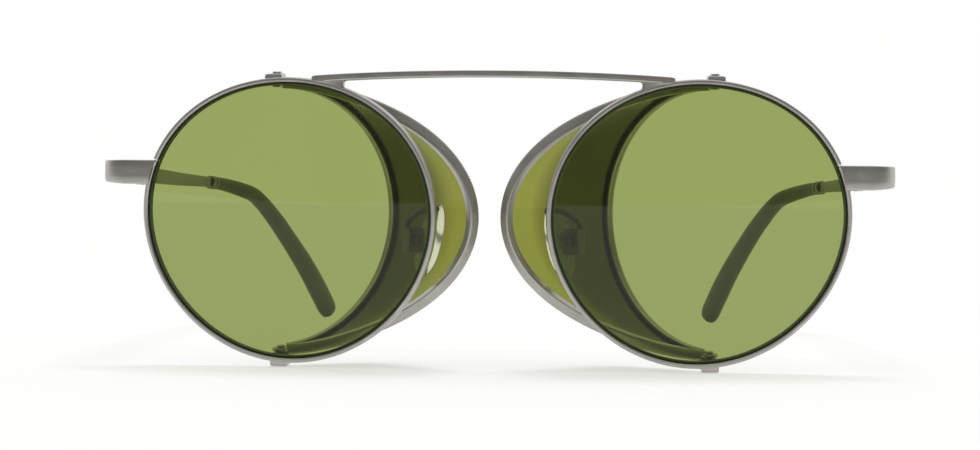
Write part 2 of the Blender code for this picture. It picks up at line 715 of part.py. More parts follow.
def temple_mesh():
    """A tapering bar with the middle knuckle in front and the ear tip's core wire behind."""
    front = GAP / 2
    rings = []
    for share in TEMPLE_BAR_SHARES:
        back = front + (TEMPLE_BAR_LENGTH - front) * share
        height = TEMPLE_FRONT_HEIGHT + (TEMPLE_BACK_HEIGHT - TEMPLE_FRONT_HEIGHT) * share
        thickness = TEMPLE_THICKNESS + (TEMPLE_BACK_THICKNESS - TEMPLE_THICKNESS) * share
        middle = temple_place((back, 0, -TEMPLE_DROP * share))
        section = rectangle(thickness / 2, height / 2, TEMPLE_BEVEL)
        rings.append([middle + Vector((u, 0, v)) for u, v in section])
    line = temple_line()
    wire_ring = circle(1, CORE_SIDES, turn=-math.pi / CORE_SIDES)
    for k in range(core_stations(line)):
        rings.append(station(line, k, CORE_RADIUS, CORE_RADIUS, wire_ring))
    middle_knuckle = moved(knuckle(0.0, 1), hinge_matrix().inverted())
    return combined("UNION", loft("temple", rings), middle_knuckle)


def core_stations(line):
    """How many points of the temple's line the core wire passes through."""
    return sum(point.x - TEMPLE_BAR_LENGTH <= CORE_LENGTH for point in line)


def collar_mesh():
    """A waisted ferrule on the core wire, between the bar and the ear tip."""
    length = COLLAR_LENGTH
    waist = length / 5
    section = [
        (COLLAR_BORE, length / 2), (COLLAR_RADIUS, length / 2), (COLLAR_RADIUS, waist / 2),
        (COLLAR_WAIST_RADIUS, waist / 2), (COLLAR_WAIST_RADIUS, -waist / 2), (COLLAR_RADIUS, -waist / 2),
        (COLLAR_RADIUS, -length / 2), (COLLAR_BORE, -length / 2), (COLLAR_BORE, length / 2),
    ]
    ring = turned("temple_collar", section, BARREL_STEPS)
    ahead, middle = line_direction(TEMPLE_BAR_LENGTH + GAP + length / 2)
    turn = Vector((0, 0, 1)).rotation_difference(ahead).to_matrix().to_4x4()
    return moved(ring, Matrix.Translation(middle) @ turn)


def line_direction(back):
    """The direction and the place of the temple's line at one distance back."""
    line = temple_line()
    for here, there in zip(line, line[1:]):
        if there.x >= back:
            share = (back - here.x) / (there.x - here.x)
            start, end = temple_place(here), temple_place(there)
            return (end - start).normalized(), start.lerp(end, share)


def tip_mesh():
    """A sleeve that swells and flattens along the ear hook, bored one step deeper than the core wire goes."""
    whole = temple_line()
    line = [point for point in whole if point.x >= TIP_START]
    total = TIP_RUN - (TIP_START - TEMPLE_BAR_LENGTH)
    ring = circle(1, TIP_SIDES)
    rings = []
    for k, point in enumerate(line):
        share = (point.x - TIP_START) / total
        swell = between(TIP_SWELL_SHARES, share)
        nose = between(((0.0, 1.0), (0.97, 1.0)) + TIP_NOSE_SHARES, share)
        half_up = (TIP_START_RADIUS + (TIP_END_HALF_HEIGHT - TIP_START_RADIUS) * swell) * nose
        half_out = (TIP_START_RADIUS + (TIP_END_HALF_WIDTH - TIP_START_RADIUS) * swell) * nose
        rings.append(station(line, k, half_out, half_up, ring))
    sleeve = loft("ear_tip", rings)
    bore_ring = circle(1, CORE_SIDES)
    depth = core_stations(whole) + 1
    bore_rings = [station(whole, k, COLLAR_BORE, COLLAR_BORE, bore_ring) for k in range(depth)]
    return combined("DIFFERENCE", sleeve, loft("core_bore", bore_rings))


# Nose pads: X towards the temple side, Y along the pad screw, Z up

def pad_box_mesh():
    """A box of three walls, open towards the pad, above and below."""
    d, wall = PAD_BOX_HALF_DEPTH, PAD_BOX_WALL
    outline = [(-PAD_BOX_MOUTH, -d), (PAD_BOX_BACK, -d), (PAD_BOX_BACK, d), (-PAD_BOX_MOUTH, d),
               (-PAD_BOX_MOUTH, d - wall), (PAD_BOX_BACK - wall, d - wall),
               (PAD_BOX_BACK - wall, wall - d), (-PAD_BOX_MOUTH, wall - d)]
    walls = plate("pad_box", [outline], -PAD_BOX_HALF_HEIGHT, PAD_BOX_HALF_HEIGHT)
    return combined("DIFFERENCE", walls, along_screw(cylinder("bore", PAD_BORE, -2 * d, 2 * d, SCREW_STEPS)))


def along_screw(data):
    """Lay a piece that was turned about Z along the pad screw, its top to the front."""
    return moved(data, Matrix.Rotation(math.pi / 2, 4, "X"))


def pad_screw_mesh():
    front = PAD_BOX_HALF_DEPTH + RUNNING_GAP
    return along_screw(turned("pad_screw", [
        (0, front + PAD_HEAD_HEIGHT), (PAD_HEAD_RADIUS, front + PAD_HEAD_HEIGHT), (PAD_HEAD_RADIUS, front),
        (PAD_SCREW_RADIUS, front), (PAD_SCREW_RADIUS, -front), (0, -front),
    ], SCREW_STEPS))


def nose_pad_mesh():
    """A soft oval pad with a bored tab that turns on the pad screw."""
    bm = bmesh.new()
    bmesh.ops.create_uvsphere(bm, u_segments=PAD_SEGMENTS, v_segments=PAD_RINGS, radius=1)
    size = Matrix.Diagonal((PAD_HALF_THICKNESS, PAD_HALF_WIDTH, PAD_HALF_HEIGHT, 1))
    lean = Matrix.Rotation(-PAD_TILT, 4, "Y")
    bm.transform(Matrix.Translation((-PAD_OFFSET, 0, 0)) @ lean @ size)
    oval = mesh_of(bm, "nose_pad")
    outline = [(-PAD_OFFSET, TAB_RADIUS), (-PAD_OFFSET, -TAB_RADIUS)]
    outline += arc(TAB_RADIUS, -math.pi / 2, math.pi / 2, SCREW_STEPS // 2)
    half = TAB_THICKNESS / 2
    tab = along_screw(plate("tab", [outline, circle(PAD_BORE, SCREW_STEPS)], -half, half))
    return combined("UNION", oval, tab)


def pad_arm_mesh():
    """A wire from the rim's back, up and over to the top of the pad box, in the front's coordinates."""
    start = rim_point(PAD_ARM_ANGLE, RIM_DEPTH / 2 + GAP, RIM_WALL / 2)
    leave = rim_point(PAD_ARM_ANGLE, RIM_DEPTH + GAP + PAD_ARM_RADIUS, RIM_WALL / 2)
    turn = Matrix.Rotation(-PAD_TURN, 4, "Z")
    end = PAD_PIVOT + turn @ Vector((PAD_BOX_BACK - PAD_ARM_RADIUS, 0, PAD_BOX_HALF_HEIGHT + GAP))
    above = end + Vector((0, 0, PAD_ARM_RISE))
    crest = (leave + above) / 2 + Vector((0, 0, PAD_ARM_RISE))
    points = smooth_through([start, leave, crest, above, end], PAD_ARM_STEPS)
    return wire("pad_arm", points, PAD_ARM_RADIUS, PAD_ARM_SIDES)


# Bridge

def bridge_mesh():
    """One arched bar whose ends lie on the tops of the two rims."""
    step = (BRIDGE_SEAT_ANGLE - BRIDGE_END_ANGLE) / BRIDGE_SEAT_STEPS
    seat = []
    for k in range(BRIDGE_SEAT_STEPS + 1):
        rim_top = rim_point(BRIDGE_END_ANGLE + k * step)
        seat.append(bridge_section(rim_top.x, rim_top.y, rim_top.z + GAP))
    inner = rim_top.x - BRIDGE_FORK
    span = []
    for k in range(BRIDGE_SPAN_STEPS + 1):
        x = inner * (1 - 2 * k / BRIDGE_SPAN_STEPS)
        span.append(bridge_section(x, rim_top.y, bar_top(x) - BRIDGE_HEIGHT))
    other_seat = [[Vector((-point.x, point.y, point.z)) for point in ring] for ring in reversed(seat)]
    return loft("bridge", seat + span + other_seat)


def bar_top(x):
    return BRIDGE_TOP - BRIDGE_ARCH * (x / rim_point(BRIDGE_END_ANGLE).x) ** 2


def bridge_section(x, y, low):
    half_height = (bar_top(x) - low) / 2
    bevel = min(BRIDGE_BEVEL, half_height / 2)
    section = rectangle(BRIDGE_DEPTH / 2, half_height, bevel)
    return [Vector((x, y + u, low + half_height + v)) for u, v in section]


# Assembly

for old in list(bpy.data.objects):
    bpy.data.objects.remove(old)

model = bpy.data.collections.new("side_shield_sunglasses")
drawing = bpy.data.collections.new("drawing")
bpy.context.scene.collection.children.link(model)
bpy.context.scene.collection.children.link(drawing)

gunmetal = make_material("gunmetal", (0.33, 0.32, 0.31), 0.35, 1.0)
steel = make_material("steel", (0.62, 0.61, 0.60), 0.25, 1.0)
lens_green = make_material("lens_green", (0.32, 0.38, 0.13), 0.05, 0.0, 0.45)
panel_green = make_material("panel_green", (0.28, 0.29, 0.06), 0.08, 0.0, 0.6)
silicone = make_material("silicone", (0.80, 0.80, 0.76), 0.2, 0.0, 0.4)
tip_plastic = make_material("tip_plastic", (0.10, 0.10, 0.09), 0.4, 0.0)

front = bpy.data.objects.new("front", None)
front.location.y = -FRONT_DISTANCE
model.objects.link(front)
lens_frame = frame("lens_frame", (LENS_SPREAD, 0, LENS_HEIGHT), (FRONT_LEAN, FACE_FORM))
pivot_frame = frame("pivot_frame", (PIVOT_OUT, PIVOT_BACK, 0), (0, 0), lens_frame)
shield_axis = frame("shield_axis", (0, 0, 0), (0, -SHIELD_PARKED), pivot_frame)
hinge_line = frame("hinge_line", (HINGE_OUT, HINGE_BACK, HINGE_HEIGHT), (0, 0))
temple_axis = frame("temple_axis", (0, 0, 0),
                    lambda side: (0, TEMPLE_REST_SWING[side] - TEMPLE_SPLAY), hinge_line)
lock_line = frame("lock_line", lock_place(), (0, 0))
pad_axis = frame("pad_axis", PAD_PIVOT, (0, -PAD_TURN))

add_pair("rim", rim_mesh(), lens_frame, gunmetal)
add_pair("lens", lens_mesh(), lens_frame, lens_green)

upside_down = (1, 1, -1)
lower_lug = mirrored(lug_mesh(LUG_BOTTOM, RECESS_BOTTOM), upside_down)
lower_screw = mirrored(pivot_screw_mesh(LUG_BOTTOM, RECESS_BOTTOM), upside_down)
add_pair("shield_lug_upper", lug_mesh(LUG_TOP, RECESS_TOP), pivot_frame, gunmetal)
add_pair("shield_lug_lower", lower_lug, pivot_frame, gunmetal)
add_pair("shield_screw_upper", pivot_screw_mesh(LUG_TOP, RECESS_TOP), pivot_frame, steel)
add_pair("shield_screw_lower", lower_screw, pivot_frame, steel)
add_pair("shield_eyelet_upper", eyelet_mesh(PIVOT_HALF_HEIGHT), shield_axis, gunmetal)
add_pair("shield_eyelet_lower", eyelet_mesh(-PIVOT_HALF_HEIGHT), shield_axis, gunmetal)
front_rim = channel_mesh("shield_front_rim", front_edge, rear_edge, FRONT_RIM_HALF_WIDTH)
rear_rim = channel_mesh("shield_rear_rim", rear_edge, front_edge, REAR_RIM_HALF_WIDTH)
add_pair("shield_front_rim", front_rim, shield_axis, gunmetal)
add_pair("shield_rear_rim", rear_rim, shield_axis, gunmetal)
add_pair("shield_panel", panel_mesh(), shield_axis, panel_green)

add_pair("endpiece", endpiece_mesh(), None, gunmetal)
add_pair("rim_lock_upper", lock_block_mesh(GAP / 2, LOCK_HEIGHT / 2), lock_line, gunmetal)
add_pair("rim_lock_lower", lock_block_mesh(-LOCK_HEIGHT / 2, -GAP / 2), lock_line, gunmetal)
add_pair("rim_lock_screw", lock_screw_mesh(), lock_line, steel)
add_pair("hinge_screw", hinge_screw_mesh(), hinge_line, steel)

add_pair("temple", temple_mesh(), temple_axis, gunmetal)
add_pair("temple_collar", collar_mesh(), temple_axis, gunmetal)
add_pair("ear_tip", tip_mesh(), temple_axis, tip_plastic)

add_pair("pad_arm", pad_arm_mesh(), None, gunmetal)
add_pair("pad_box", pad_box_mesh(), pad_axis, gunmetal)
add_pair("pad_screw", pad_screw_mesh(), pad_axis, steel)
add_pair("nose_pad", nose_pad_mesh(), pad_axis, silicone)

add_part("bridge", bridge_mesh(), gunmetal, front)

bpy.data.collections.remove(drawing)
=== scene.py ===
import json
import math

import bmesh
import bpy
from mathutils import Euler, Matrix, Vector


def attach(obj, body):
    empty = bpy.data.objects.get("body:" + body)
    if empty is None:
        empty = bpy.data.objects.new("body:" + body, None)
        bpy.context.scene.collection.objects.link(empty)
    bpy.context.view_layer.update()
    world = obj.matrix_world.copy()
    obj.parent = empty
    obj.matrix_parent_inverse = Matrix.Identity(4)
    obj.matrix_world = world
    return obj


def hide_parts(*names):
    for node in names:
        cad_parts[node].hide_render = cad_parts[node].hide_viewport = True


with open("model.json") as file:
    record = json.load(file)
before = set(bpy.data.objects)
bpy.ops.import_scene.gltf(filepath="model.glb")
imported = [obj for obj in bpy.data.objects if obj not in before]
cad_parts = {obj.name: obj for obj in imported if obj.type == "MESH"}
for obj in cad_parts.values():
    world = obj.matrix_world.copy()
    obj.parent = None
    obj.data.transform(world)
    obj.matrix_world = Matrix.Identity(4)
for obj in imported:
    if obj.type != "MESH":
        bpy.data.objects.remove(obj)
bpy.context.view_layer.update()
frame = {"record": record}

# Round metal sunglasses with swinging side shields.
# Shapes are drawn in millimetres, in the coordinates of the front: Y = 0 is the lens plane and +Y is
# backwards. Every piece is drawn for the left side (+X) and mirrored for the right one.

# The whole front
FRONT_DISTANCE = 68.6
NOSE_HALF_GAP = 8.734
FACE_FORM = math.radians(8.0)
FRONT_LEAN = math.radians(4.6)

# Rims and lenses
RIM_HALF_WIDTH, RIM_HALF_HEIGHT, RIM_FULLNESS = 24.37, 23.01, 0.3
RIM_WALL, RIM_DEPTH = 0.74, 2.0
RIM_SPLIT, RIM_SPLIT_GAP = math.radians(24.0), 0.4
LENS_BULGE, LENS_HALF = 1.2, 0.9
LENS_EDGE_INSET, LENS_SHOULDER_INSET = 0.5, 1.22
LENS_SPREAD = NOSE_HALF_GAP + RIM_HALF_WIDTH * math.cos(FACE_FORM)
LENS_HEIGHT, LENS_DROP = 24.1174, 0.067

# Shield pivots
PIVOT_SPREAD = 33.2016
PIVOT_OUT, PIVOT_BACK, PIVOT_HALF_HEIGHT = 2.1, 2.95, 21.6
EYELET_RADIUS, EYELET_HALF, PIVOT_BORE = 1.4, 0.275, 0.6
SHANK_RADIUS, HEAD_RADIUS = 0.4, 0.78
HEAD_HEIGHT, HEAD_LIFT = 0.57, 0.1
NUB_RADIUS, NUB_HEIGHT = 0.7, 0.3
SCREW_HOLE = 0.62
LUG_RADIUS, LUG_SINK = 1.35, 0.15
LUG_TOP, LUG_BOTTOM = 23.15, 24.26
RECESS_TOP, RECESS_BOTTOM = 0.35, 0.7
LUG_INNER = PIVOT_HALF_HEIGHT + EYELET_HALF + 0.2

# Side shields
SHIELD_PARKED = math.radians(48.5)
SHIELD_WEDGE = math.radians(42.5)
FRONT_RIM_HALF = (22.25, 21.8)
REAR_RIM_HALF = {"left": (33.1, 20.5), "right": (31.7, 20.5)}
SHIELD_END_POWER = 12
PANEL_HALF, PANEL_WIDTH = 0.3, 22.2
SLOT_HALF, CHANNEL_HALF, CHANNEL_WEB = 0.42, 0.89, 0.35
CHANNEL_LIP, CHANNEL_LIP_SHARE, CHANNEL_END = 1.0, 0.28, 1.15
PANEL_END = math.radians(84.0)

# Endpieces, hinges and rim locks
ENDPIECE_OUT = 64.6032
ENDPIECE_TOP = LENS_HEIGHT + 9.2
ENDPIECE_THICKNESS, ENDPIECE_CORNER = 1.55, 4.2
ROOT_HEIGHT, ARM_HEIGHT, ARM_TAPER = 4.1, 3.5, 0.15
ROOT_FACE, ROOT_REAR, LAP_REAR = 1.3, 3.675, 2.2
ARM_INNER_CORNER, ARM_OUTER_CORNER = ENDPIECE_CORNER - ENDPIECE_THICKNESS / 2, ENDPIECE_CORNER - 0.6
HINGE_BACK, HINGE_HALF_GAP = 20.0, 0.06
BARREL_RADIUS, BARREL_HEIGHT, BARREL_GAP, BARREL_WEB = 1.25, 2.2, 0.3, (0.12, 0.9)
ARM_OUTER_FACE = ENDPIECE_OUT - 0.62
# The arm's outer face flares, as (back, how far out)
ARM_FLARE = ((9.5, 0.04), (12.0, 0.2), (16.0, 0.45), (HINGE_BACK - HINGE_HALF_GAP, 0.55))
ARM_MIDDLE = ENDPIECE_OUT - ENDPIECE_THICKNESS / 2
HINGE_OUT = ENDPIECE_OUT - ENDPIECE_THICKNESS - BARREL_GAP - BARREL_RADIUS
HINGE_HEIGHT = ENDPIECE_TOP - ARM_HEIGHT / 2
KNUCKLE_CLEARANCE, KNUCKLE_GAP = 0.3, 0.1
KNUCKLE_PITCH = (BARREL_HEIGHT + KNUCKLE_CLEARANCE) / 3
KNUCKLE_HEIGHT = KNUCKLE_PITCH - KNUCKLE_GAP
LOCK_HALF, LOCK_HALF_DEPTH, LOCK_SPLIT, LOCK_OUT, LOCK_BACK = 1.4, 1.15, 0.06, 1.5, 1.4

# Temples
TEMPLE_SPLAY = math.radians(1.1)
TEMPLE_SWING = {"left": math.radians(5.2), "right": 0.0}
BAR_LENGTH, BAR_DROP, BAR_STEPS = 78.6, 1.9, 30
BAR_HEIGHT, BAR_HEIGHT_LOSS = 3.0, 1.0
BAR_THICKNESS, BAR_THICKNESS_LOSS = 1.5, 0.2
BAR_DROP_SHARES = ((0.0, 0.0), (0.15, 0.2), (0.36, 0.48), (0.6, 0.72), (0.85, 0.9), (1.0, 1.0))
COLLAR_START, COLLAR_LENGTH = BAR_LENGTH + 0.3, 2.1
COLLAR_RADIUS, COLLAR_GROOVE = 1.33, 1.02
TIP_RUN, TIP_INWARD, TIP_FALL = 43.0, 18.6, 28.9
# The ear tip's route, as shares of its run, inward bend and fall. Folded, the left tip passes close to
# the right rim, so it turns in a little less.
TIP_ROUTE_SHARES = (
    (0.0, 0.0, 0.0), (0.16, 0.13, 0.022), (0.33, 0.33, 0.078), (0.405, 0.42, 0.137),
    (0.48, 0.505, 0.222), (0.58, 0.62, 0.356),
)
TIP_LAST_SHARES = {
    "left": ((0.78, 0.825, 0.648), (1.0, 1.02, 1.0)),
    "right": ((0.78, 0.84, 0.648), (1.0, 1.05, 1.0)),
}
TIP_START_RADIUS, TIP_END_UP, TIP_END_OUT, TIP_ROUNDING = 1.22, 2.35, 1.9, 0.05
TIP_SWELL_SHARES = ((0.0, 0.0), (0.3, 0.3), (0.6, 0.65), (0.85, 1.0), (1.0, 0.97))

# Nose pads
PAD_PIVOT = Vector((12.95, 2.9, LENS_HEIGHT - 3.3))
PAD_TURN, PAD_TILT, PAD_OFFSET = math.radians(36.9), math.radians(15.0), 3.15
PAD_HALF = (1.05, 3.3, 6.0)
PAD_FULLNESS, PAD_SQUARENESS, PAD_TAPER = 2.3, 2.4, 0.1
PAD_ARM_ANGLE, PAD_ARM_RADIUS, PAD_ARM_BRAZE = math.radians(176.0), 0.45, 0.4

# Bridge
BRIDGE_TOP = LENS_HEIGHT + 23.74
BRIDGE_ARCH, BRIDGE_HEIGHT, BRIDGE_DEPTH = 0.95, 1.1, 1.9
BRIDGE_END, BRIDGE_SEAT = math.radians(100.0), math.radians(113.5)
BRIDGE_ROUNDING = 0.8

# Meshes: the welding distance, and the angle above which an edge stays sharp
WELD, SHARP_ANGLE = 0.0002, math.radians(38)

SIDES = ("left", "right")
BODY_OF = {node: body for body, nodes in frame["record"]["behaviour"]["bodies"].items() for node in nodes}

LENS_TURN = Euler((FRONT_LEAN, 0, FACE_FORM)).to_matrix().to_4x4()
LENS = Matrix.Translation((LENS_SPREAD, 0, LENS_HEIGHT - LENS_DROP)) @ LENS_TURN
PIVOT = (Matrix.Translation((PIVOT_SPREAD, 0, LENS_HEIGHT)) @ LENS_TURN
         @ Matrix.Translation((PIVOT_OUT, PIVOT_BACK, 0)))
SHIELD = PIVOT @ Matrix.Rotation(-SHIELD_PARKED, 4, "Z")
HINGE = Matrix.Translation((HINGE_OUT, HINGE_BACK, HINGE_HEIGHT))
PAD = Matrix.Translation(PAD_PIVOT) @ Matrix.Rotation(-PAD_TURN, 4, "Z")
ALONG_Y = Matrix.Rotation(math.pi / 2, 4, "X")
TO_FRAME = Matrix.Scale(0.001, 4) @ Matrix.Translation((0, -FRONT_DISTANCE, 0))
NO_MOVE = Matrix.Identity(4)


# Shape helpers

def mesh_of(bm):
    """Weld a drawing, turn its faces outwards and make a mesh of it."""
    bmesh.ops.remove_doubles(bm, verts=bm.verts, dist=WELD)
    bmesh.ops.recalc_face_normals(bm, faces=bm.faces)
    data = bpy.data.meshes.new("piece")
    bm.to_mesh(data)
    bm.free()
    return data


def lengths(points):
    """Running lengths along a list of points."""
    total = [0.0]
    for here, there in zip(points, points[1:]):
        total.append(total[-1] + (Vector(there) - Vector(here)).length)
    return total


def loft(rings):
    """Join rings of points into one skin, with a map of lengths along and around it in millimetres."""
    bm = bmesh.new()
    flow = bm.loops.layers.uv.new("flow")
    loops = [[bm.verts.new(point) for point in ring] for ring in rings]
    middle = rings[len(rings) // 2]
    around = lengths(list(middle) + [middle[0]])
    along = lengths([ring[0] for ring in rings])
    for i, (here, there) in enumerate(zip(loops, loops[1:])):
        for k in range(len(here)):
            face = bm.faces.new((here[k - 1], here[k], there[k], there[k - 1]))
            before = around[k - 1] if k else around[-2]
            after = around[k] if k else around[-1]
            for corner, spot in zip(face.loops, ((along[i], before), (along[i], after),
                                                 (along[i + 1], after), (along[i + 1], before))):
                corner[flow].uv = spot
    bm.faces.new(loops[0])
    bm.faces.new(loops[-1])
    return mesh_of(bm)


def turned(profile, steps=40, closed=False):
    """Turn a profile of (radius, height) points about Z."""
    bm = bmesh.new()
    angles = [2 * math.pi * k / steps for k in range(steps)]
    rings = []
    for radius, height in profile:
        if radius == 0:
            rings.append([bm.verts.new((0, 0, height))])
        else:
            rings.append([bm.verts.new((radius * math.cos(a), radius * math.sin(a), height)) for a in angles])
    for here, there in list(zip(rings, rings[1:])) + ([(rings[-1], rings[0])] if closed else []):
        for k in range(steps):
            corners = [ring[(k - back) % len(ring)]
                       for ring, back in ((here, 1), (here, 0), (there, 0), (there, 1))]
            bm.faces.new(list(dict.fromkeys(corners)))
    return mesh_of(bm)


def soften(outline, radius, steps=3, closed=True):
    """Round the corners of an outline of (x, y) or (x, y, own radius) points."""
    result = []
    count = len(outline)
    for k, (x, y, *own) in enumerate(outline):
        reach = own[0] if own else radius
        if reach == 0 or (not closed and k in (0, count - 1)):
            result.append((x, y))
            continue
        here = Vector((x, y))
        before = Vector(outline[k - 1][:2]) - here
        after = Vector(outline[(k + 1) % count][:2]) - here
        start = here + before.normalized() * min(reach, before.length * 0.48)
        end = here + after.normalized() * min(reach, after.length * 0.48)
        for step in range(steps + 1):
            t = step / steps
            result.append(tuple(start * (1 - t) ** 2 + here * 2 * t * (1 - t) + end * t ** 2))
    return result


def arc(radius, start, end, steps, centre=(0, 0)):
    """Points on an arc, both ends included."""
    angles = [start + (end - start) * k / steps for k in range(steps + 1)]
    return [(centre[0] + radius * math.cos(a), centre[1] + radius * math.sin(a)) for a in angles]


def circle(radius, steps):
    return arc(radius, 0, 2 * math.pi, steps)[:-1]


def block(half_x, half_y, radius):
    """A rectangle's outline with round corners."""
    return soften([(half_x, -half_y), (half_x, half_y), (-half_x, half_y), (-half_x, -half_y)], radius)


def evaluated(obj):
    """An object's finished mesh; the object is removed."""
    bpy.context.view_layer.update()
    data = bpy.data.meshes.new_from_object(obj.evaluated_get(bpy.context.evaluated_depsgraph_get()))
    bpy.data.objects.remove(obj)
    return data


def temporary(data):
    obj = bpy.data.objects.new("drawing", data)
    bpy.context.scene.collection.objects.link(obj)
    return obj


def plate(outlines, low, high, bevel=0.1):
    """Flat outlines thickened between two heights, with rounded edges."""
    curve = bpy.data.curves.new("plate", "CURVE")
    curve.dimensions = "2D"
    curve.fill_mode = "BOTH"
    curve.extrude = (high - low) / 2 - bevel
    curve.bevel_depth = bevel
    curve.bevel_resolution = 1
    curve.offset = -bevel
    for outline in outlines:
        spline = curve.splines.new("POLY")
        spline.points.add(len(outline) - 1)
        for point, (x, y) in zip(spline.points, outline):
            point.co = (x, y, 0, 1)
        spline.use_cyclic_u = True
    bm = bmesh.new()
    bm.from_mesh(evaluated(temporary(curve)))
    bmesh.ops.translate(bm, verts=bm.verts, vec=(0, 0, (high + low) / 2))
    return mesh_of(bm)


def tube(points, radii, sides=16):
    """A round wire through smooth points, its radius given at each."""
    rings = []
    side = Vector((0, 0, 1))
    for k, point in enumerate(points):
        ahead = (points[min(k + 1, len(points) - 1)] - points[max(k - 1, 0)]).normalized()
        side = (side - ahead * side.dot(ahead)).normalized()
        other = ahead.cross(side)
        rings.append([point + radii[k] * (math.cos(a) * side + math.sin(a) * other)
                      for a in (2 * math.pi * j / sides for j in range(sides))])
    return loft(rings)


def moved(data, matrix):
    """A mesh after a move, for use inside another call."""
    data.transform(matrix)
    return data


def joined(*meshes):
    """Several closed meshes as one."""
    bm = bmesh.new()
    bm.loops.layers.uv.new("flow")
    for data in meshes:
        bm.from_mesh(data)
    data = bpy.data.meshes.new("piece")
    bm.to_mesh(data)
    bm.free()
    return data


def cut(data, cutter):
    """A mesh with the space of another one taken out."""
    obj, tool = temporary(data), temporary(cutter)
    step = obj.modifiers.new("cut", "BOOLEAN")
    step.operation = "DIFFERENCE"
    step.solver = "EXACT"
    step.object = tool
    result = evaluated(obj)
    bpy.data.objects.remove(tool)
    return result


def slotted(data, radius, top, depth, width, turn):
    """Cut a screwdriver slot across a head whose top is at a height on Z."""
    slot = plate([block(width / 2, radius * 1.4, width * 0.2)], top - depth, top + 1, 0.0)
    return cut(data, moved(slot, Matrix.Rotation(math.radians(turn), 4, "Z")))


def smooth_through(points, steps):
    """Points of a Catmull-Rom curve through the given ones."""
    points = [Vector(point) for point in points]
    ends = [2 * points[0] - points[1], *points, 2 * points[-1] - points[-2]]
    curve = []
    for k in range(steps + 1):
        place = k / steps * (len(points) - 1)
        span = min(int(place), len(points) - 2)
        t = place - span
        a, b, c, d = ends[span:span + 4]
        curve.append(0.5 * (2 * b + (c - a) * t + (2 * a - 5 * b + 4 * c - d) * t ** 2
                            + (3 * b - a - 3 * c + d) * t ** 3))
    return curve


def between(table, share):
    """The value at a share along a table of (share, value) rows."""
    for (x0, y0), (x1, y1) in zip(table, table[1:]):
        if share <= x1:
            return y0 + (y1 - y0) * (share - x0) / (x1 - x0)
    return table[-1][1]


# Materials

class Nodes:
    """A node tree under construction."""

    def __init__(self, tree):
        self.nodes, self.links = tree.nodes, tree.links

    def node(self, kind, sources=(), **settings):
        node = self.nodes.new(kind)
        for key, value in settings.items():
            setattr(node, key, value)
        for key, value in dict(sources).items():
            self.feed(node.inputs[key], value)
        return node

    def feed(self, socket, value):
        if isinstance(value, bpy.types.NodeSocket):
            self.links.new(value, socket)
        else:
            socket.default_value = value

    def ramp(self, value, low, high, start, end, **settings):
        """Map a value from one range to another, held at the ends."""
        return self.node("ShaderNodeMapRange", {"Value": value, "From Min": low, "From Max": high,
                                                "To Min": start, "To Max": end}, **settings).outputs["Result"]

    def math(self, operation, a, b=0.0):
        return self.node("ShaderNodeMath", {0: a, 1: b}, operation=operation).outputs[0]

    def blend(self, share, a, b):
        node = self.node("ShaderNodeMix", data_type="RGBA")
        self.feed(node.inputs[0], share)
        self.feed(node.inputs[6], a if isinstance(a, bpy.types.NodeSocket) else (*a, 1))
        self.feed(node.inputs[7], b if isinstance(b, bpy.types.NodeSocket) else (*b, 1))
        return node.outputs[2]


class Shading(Nodes):
    """A node material under construction."""

    def __init__(self, name):
        self.material = bpy.data.materials.new(name)
        self.material.use_nodes = True
        super().__init__(self.material.node_tree)
        self.shader = self.nodes["Principled BSDF"]
        self.output = self.nodes["Material Output"]

    def place(self):
        return self.node("ShaderNodeTexCoord").outputs["Object"]

    def noise(self, scale, detail=3.0, vector=None):
        sources = {"Scale": scale, "Detail": detail, "Vector": vector or self.place()}
        return self.node("ShaderNodeTexNoise", sources).outputs["Fac"]

    def bump(self, height, strength, distance, normal=None):
        sources = {"Height": height, "Strength": strength, "Distance": distance}
        if normal:
            sources["Normal"] = normal
        return self.node("ShaderNodeBump", sources).outputs["Normal"]

    def set(self, **inputs):
        for key, value in inputs.items():
            self.feed(self.shader.inputs[key.replace("_", " ")], value)

    def clear_shadow(self, tint):
        """Let light through to what lies behind, tinted."""
        path = self.node("ShaderNodeLightPath")
        clear = self.node("ShaderNodeBsdfTransparent", {"Color": (*tint, 1)})
        mix = self.node("ShaderNodeMixShader", {0: path.outputs["Is Shadow Ray"], 1: self.shader.outputs[0],
                                                2: clear.outputs[0]})
        self.links.new(mix.outputs[0], self.output.inputs["Surface"])


def satin_metal(name, colour, worn, roughness):
    """Satin plated metal: a fine blasted grain, faint streaks along the piece, and polished edges."""
    s = Shading(name)
    flow = s.node("ShaderNodeUVMap", uv_map="flow").outputs["UV"]
    streak_space = s.node("ShaderNodeVectorMath", {0: flow, 1: (0.25, 7.0, 1.0)}, operation="MULTIPLY")
    streaks = s.noise(1.0, 4.0, streak_space.outputs[0])
    grain = s.noise(5200.0, 2.0)
    clouds = s.noise(320.0, 4.0)
    edge = s.ramp(s.node("ShaderNodeNewGeometry").outputs["Pointiness"], 0.52, 0.62, 0.0, 0.7)
    dark = tuple(0.86 * c for c in colour)
    base = s.blend(s.ramp(clouds, 0.3, 0.7, 0.0, 1.0), dark, colour)
    base = s.blend(s.ramp(streaks, 0.35, 0.7, 0.0, 0.35), base, worn)
    base = s.blend(edge, base, worn)
    rough = s.math("ADD", s.ramp(streaks, 0.2, 0.8, roughness - 0.05, roughness + 0.06),
                   s.ramp(clouds, 0.2, 0.8, -0.03, 0.04))
    rough = s.math("SUBTRACT", rough, s.math("MULTIPLY", edge, 0.08))
    normal = s.bump(streaks, 0.10, 0.00004, s.bump(grain, 0.16, 0.00003))
    s.set(Base_Color=base, Metallic=1.0, Roughness=rough, Normal=normal)
    return s.material


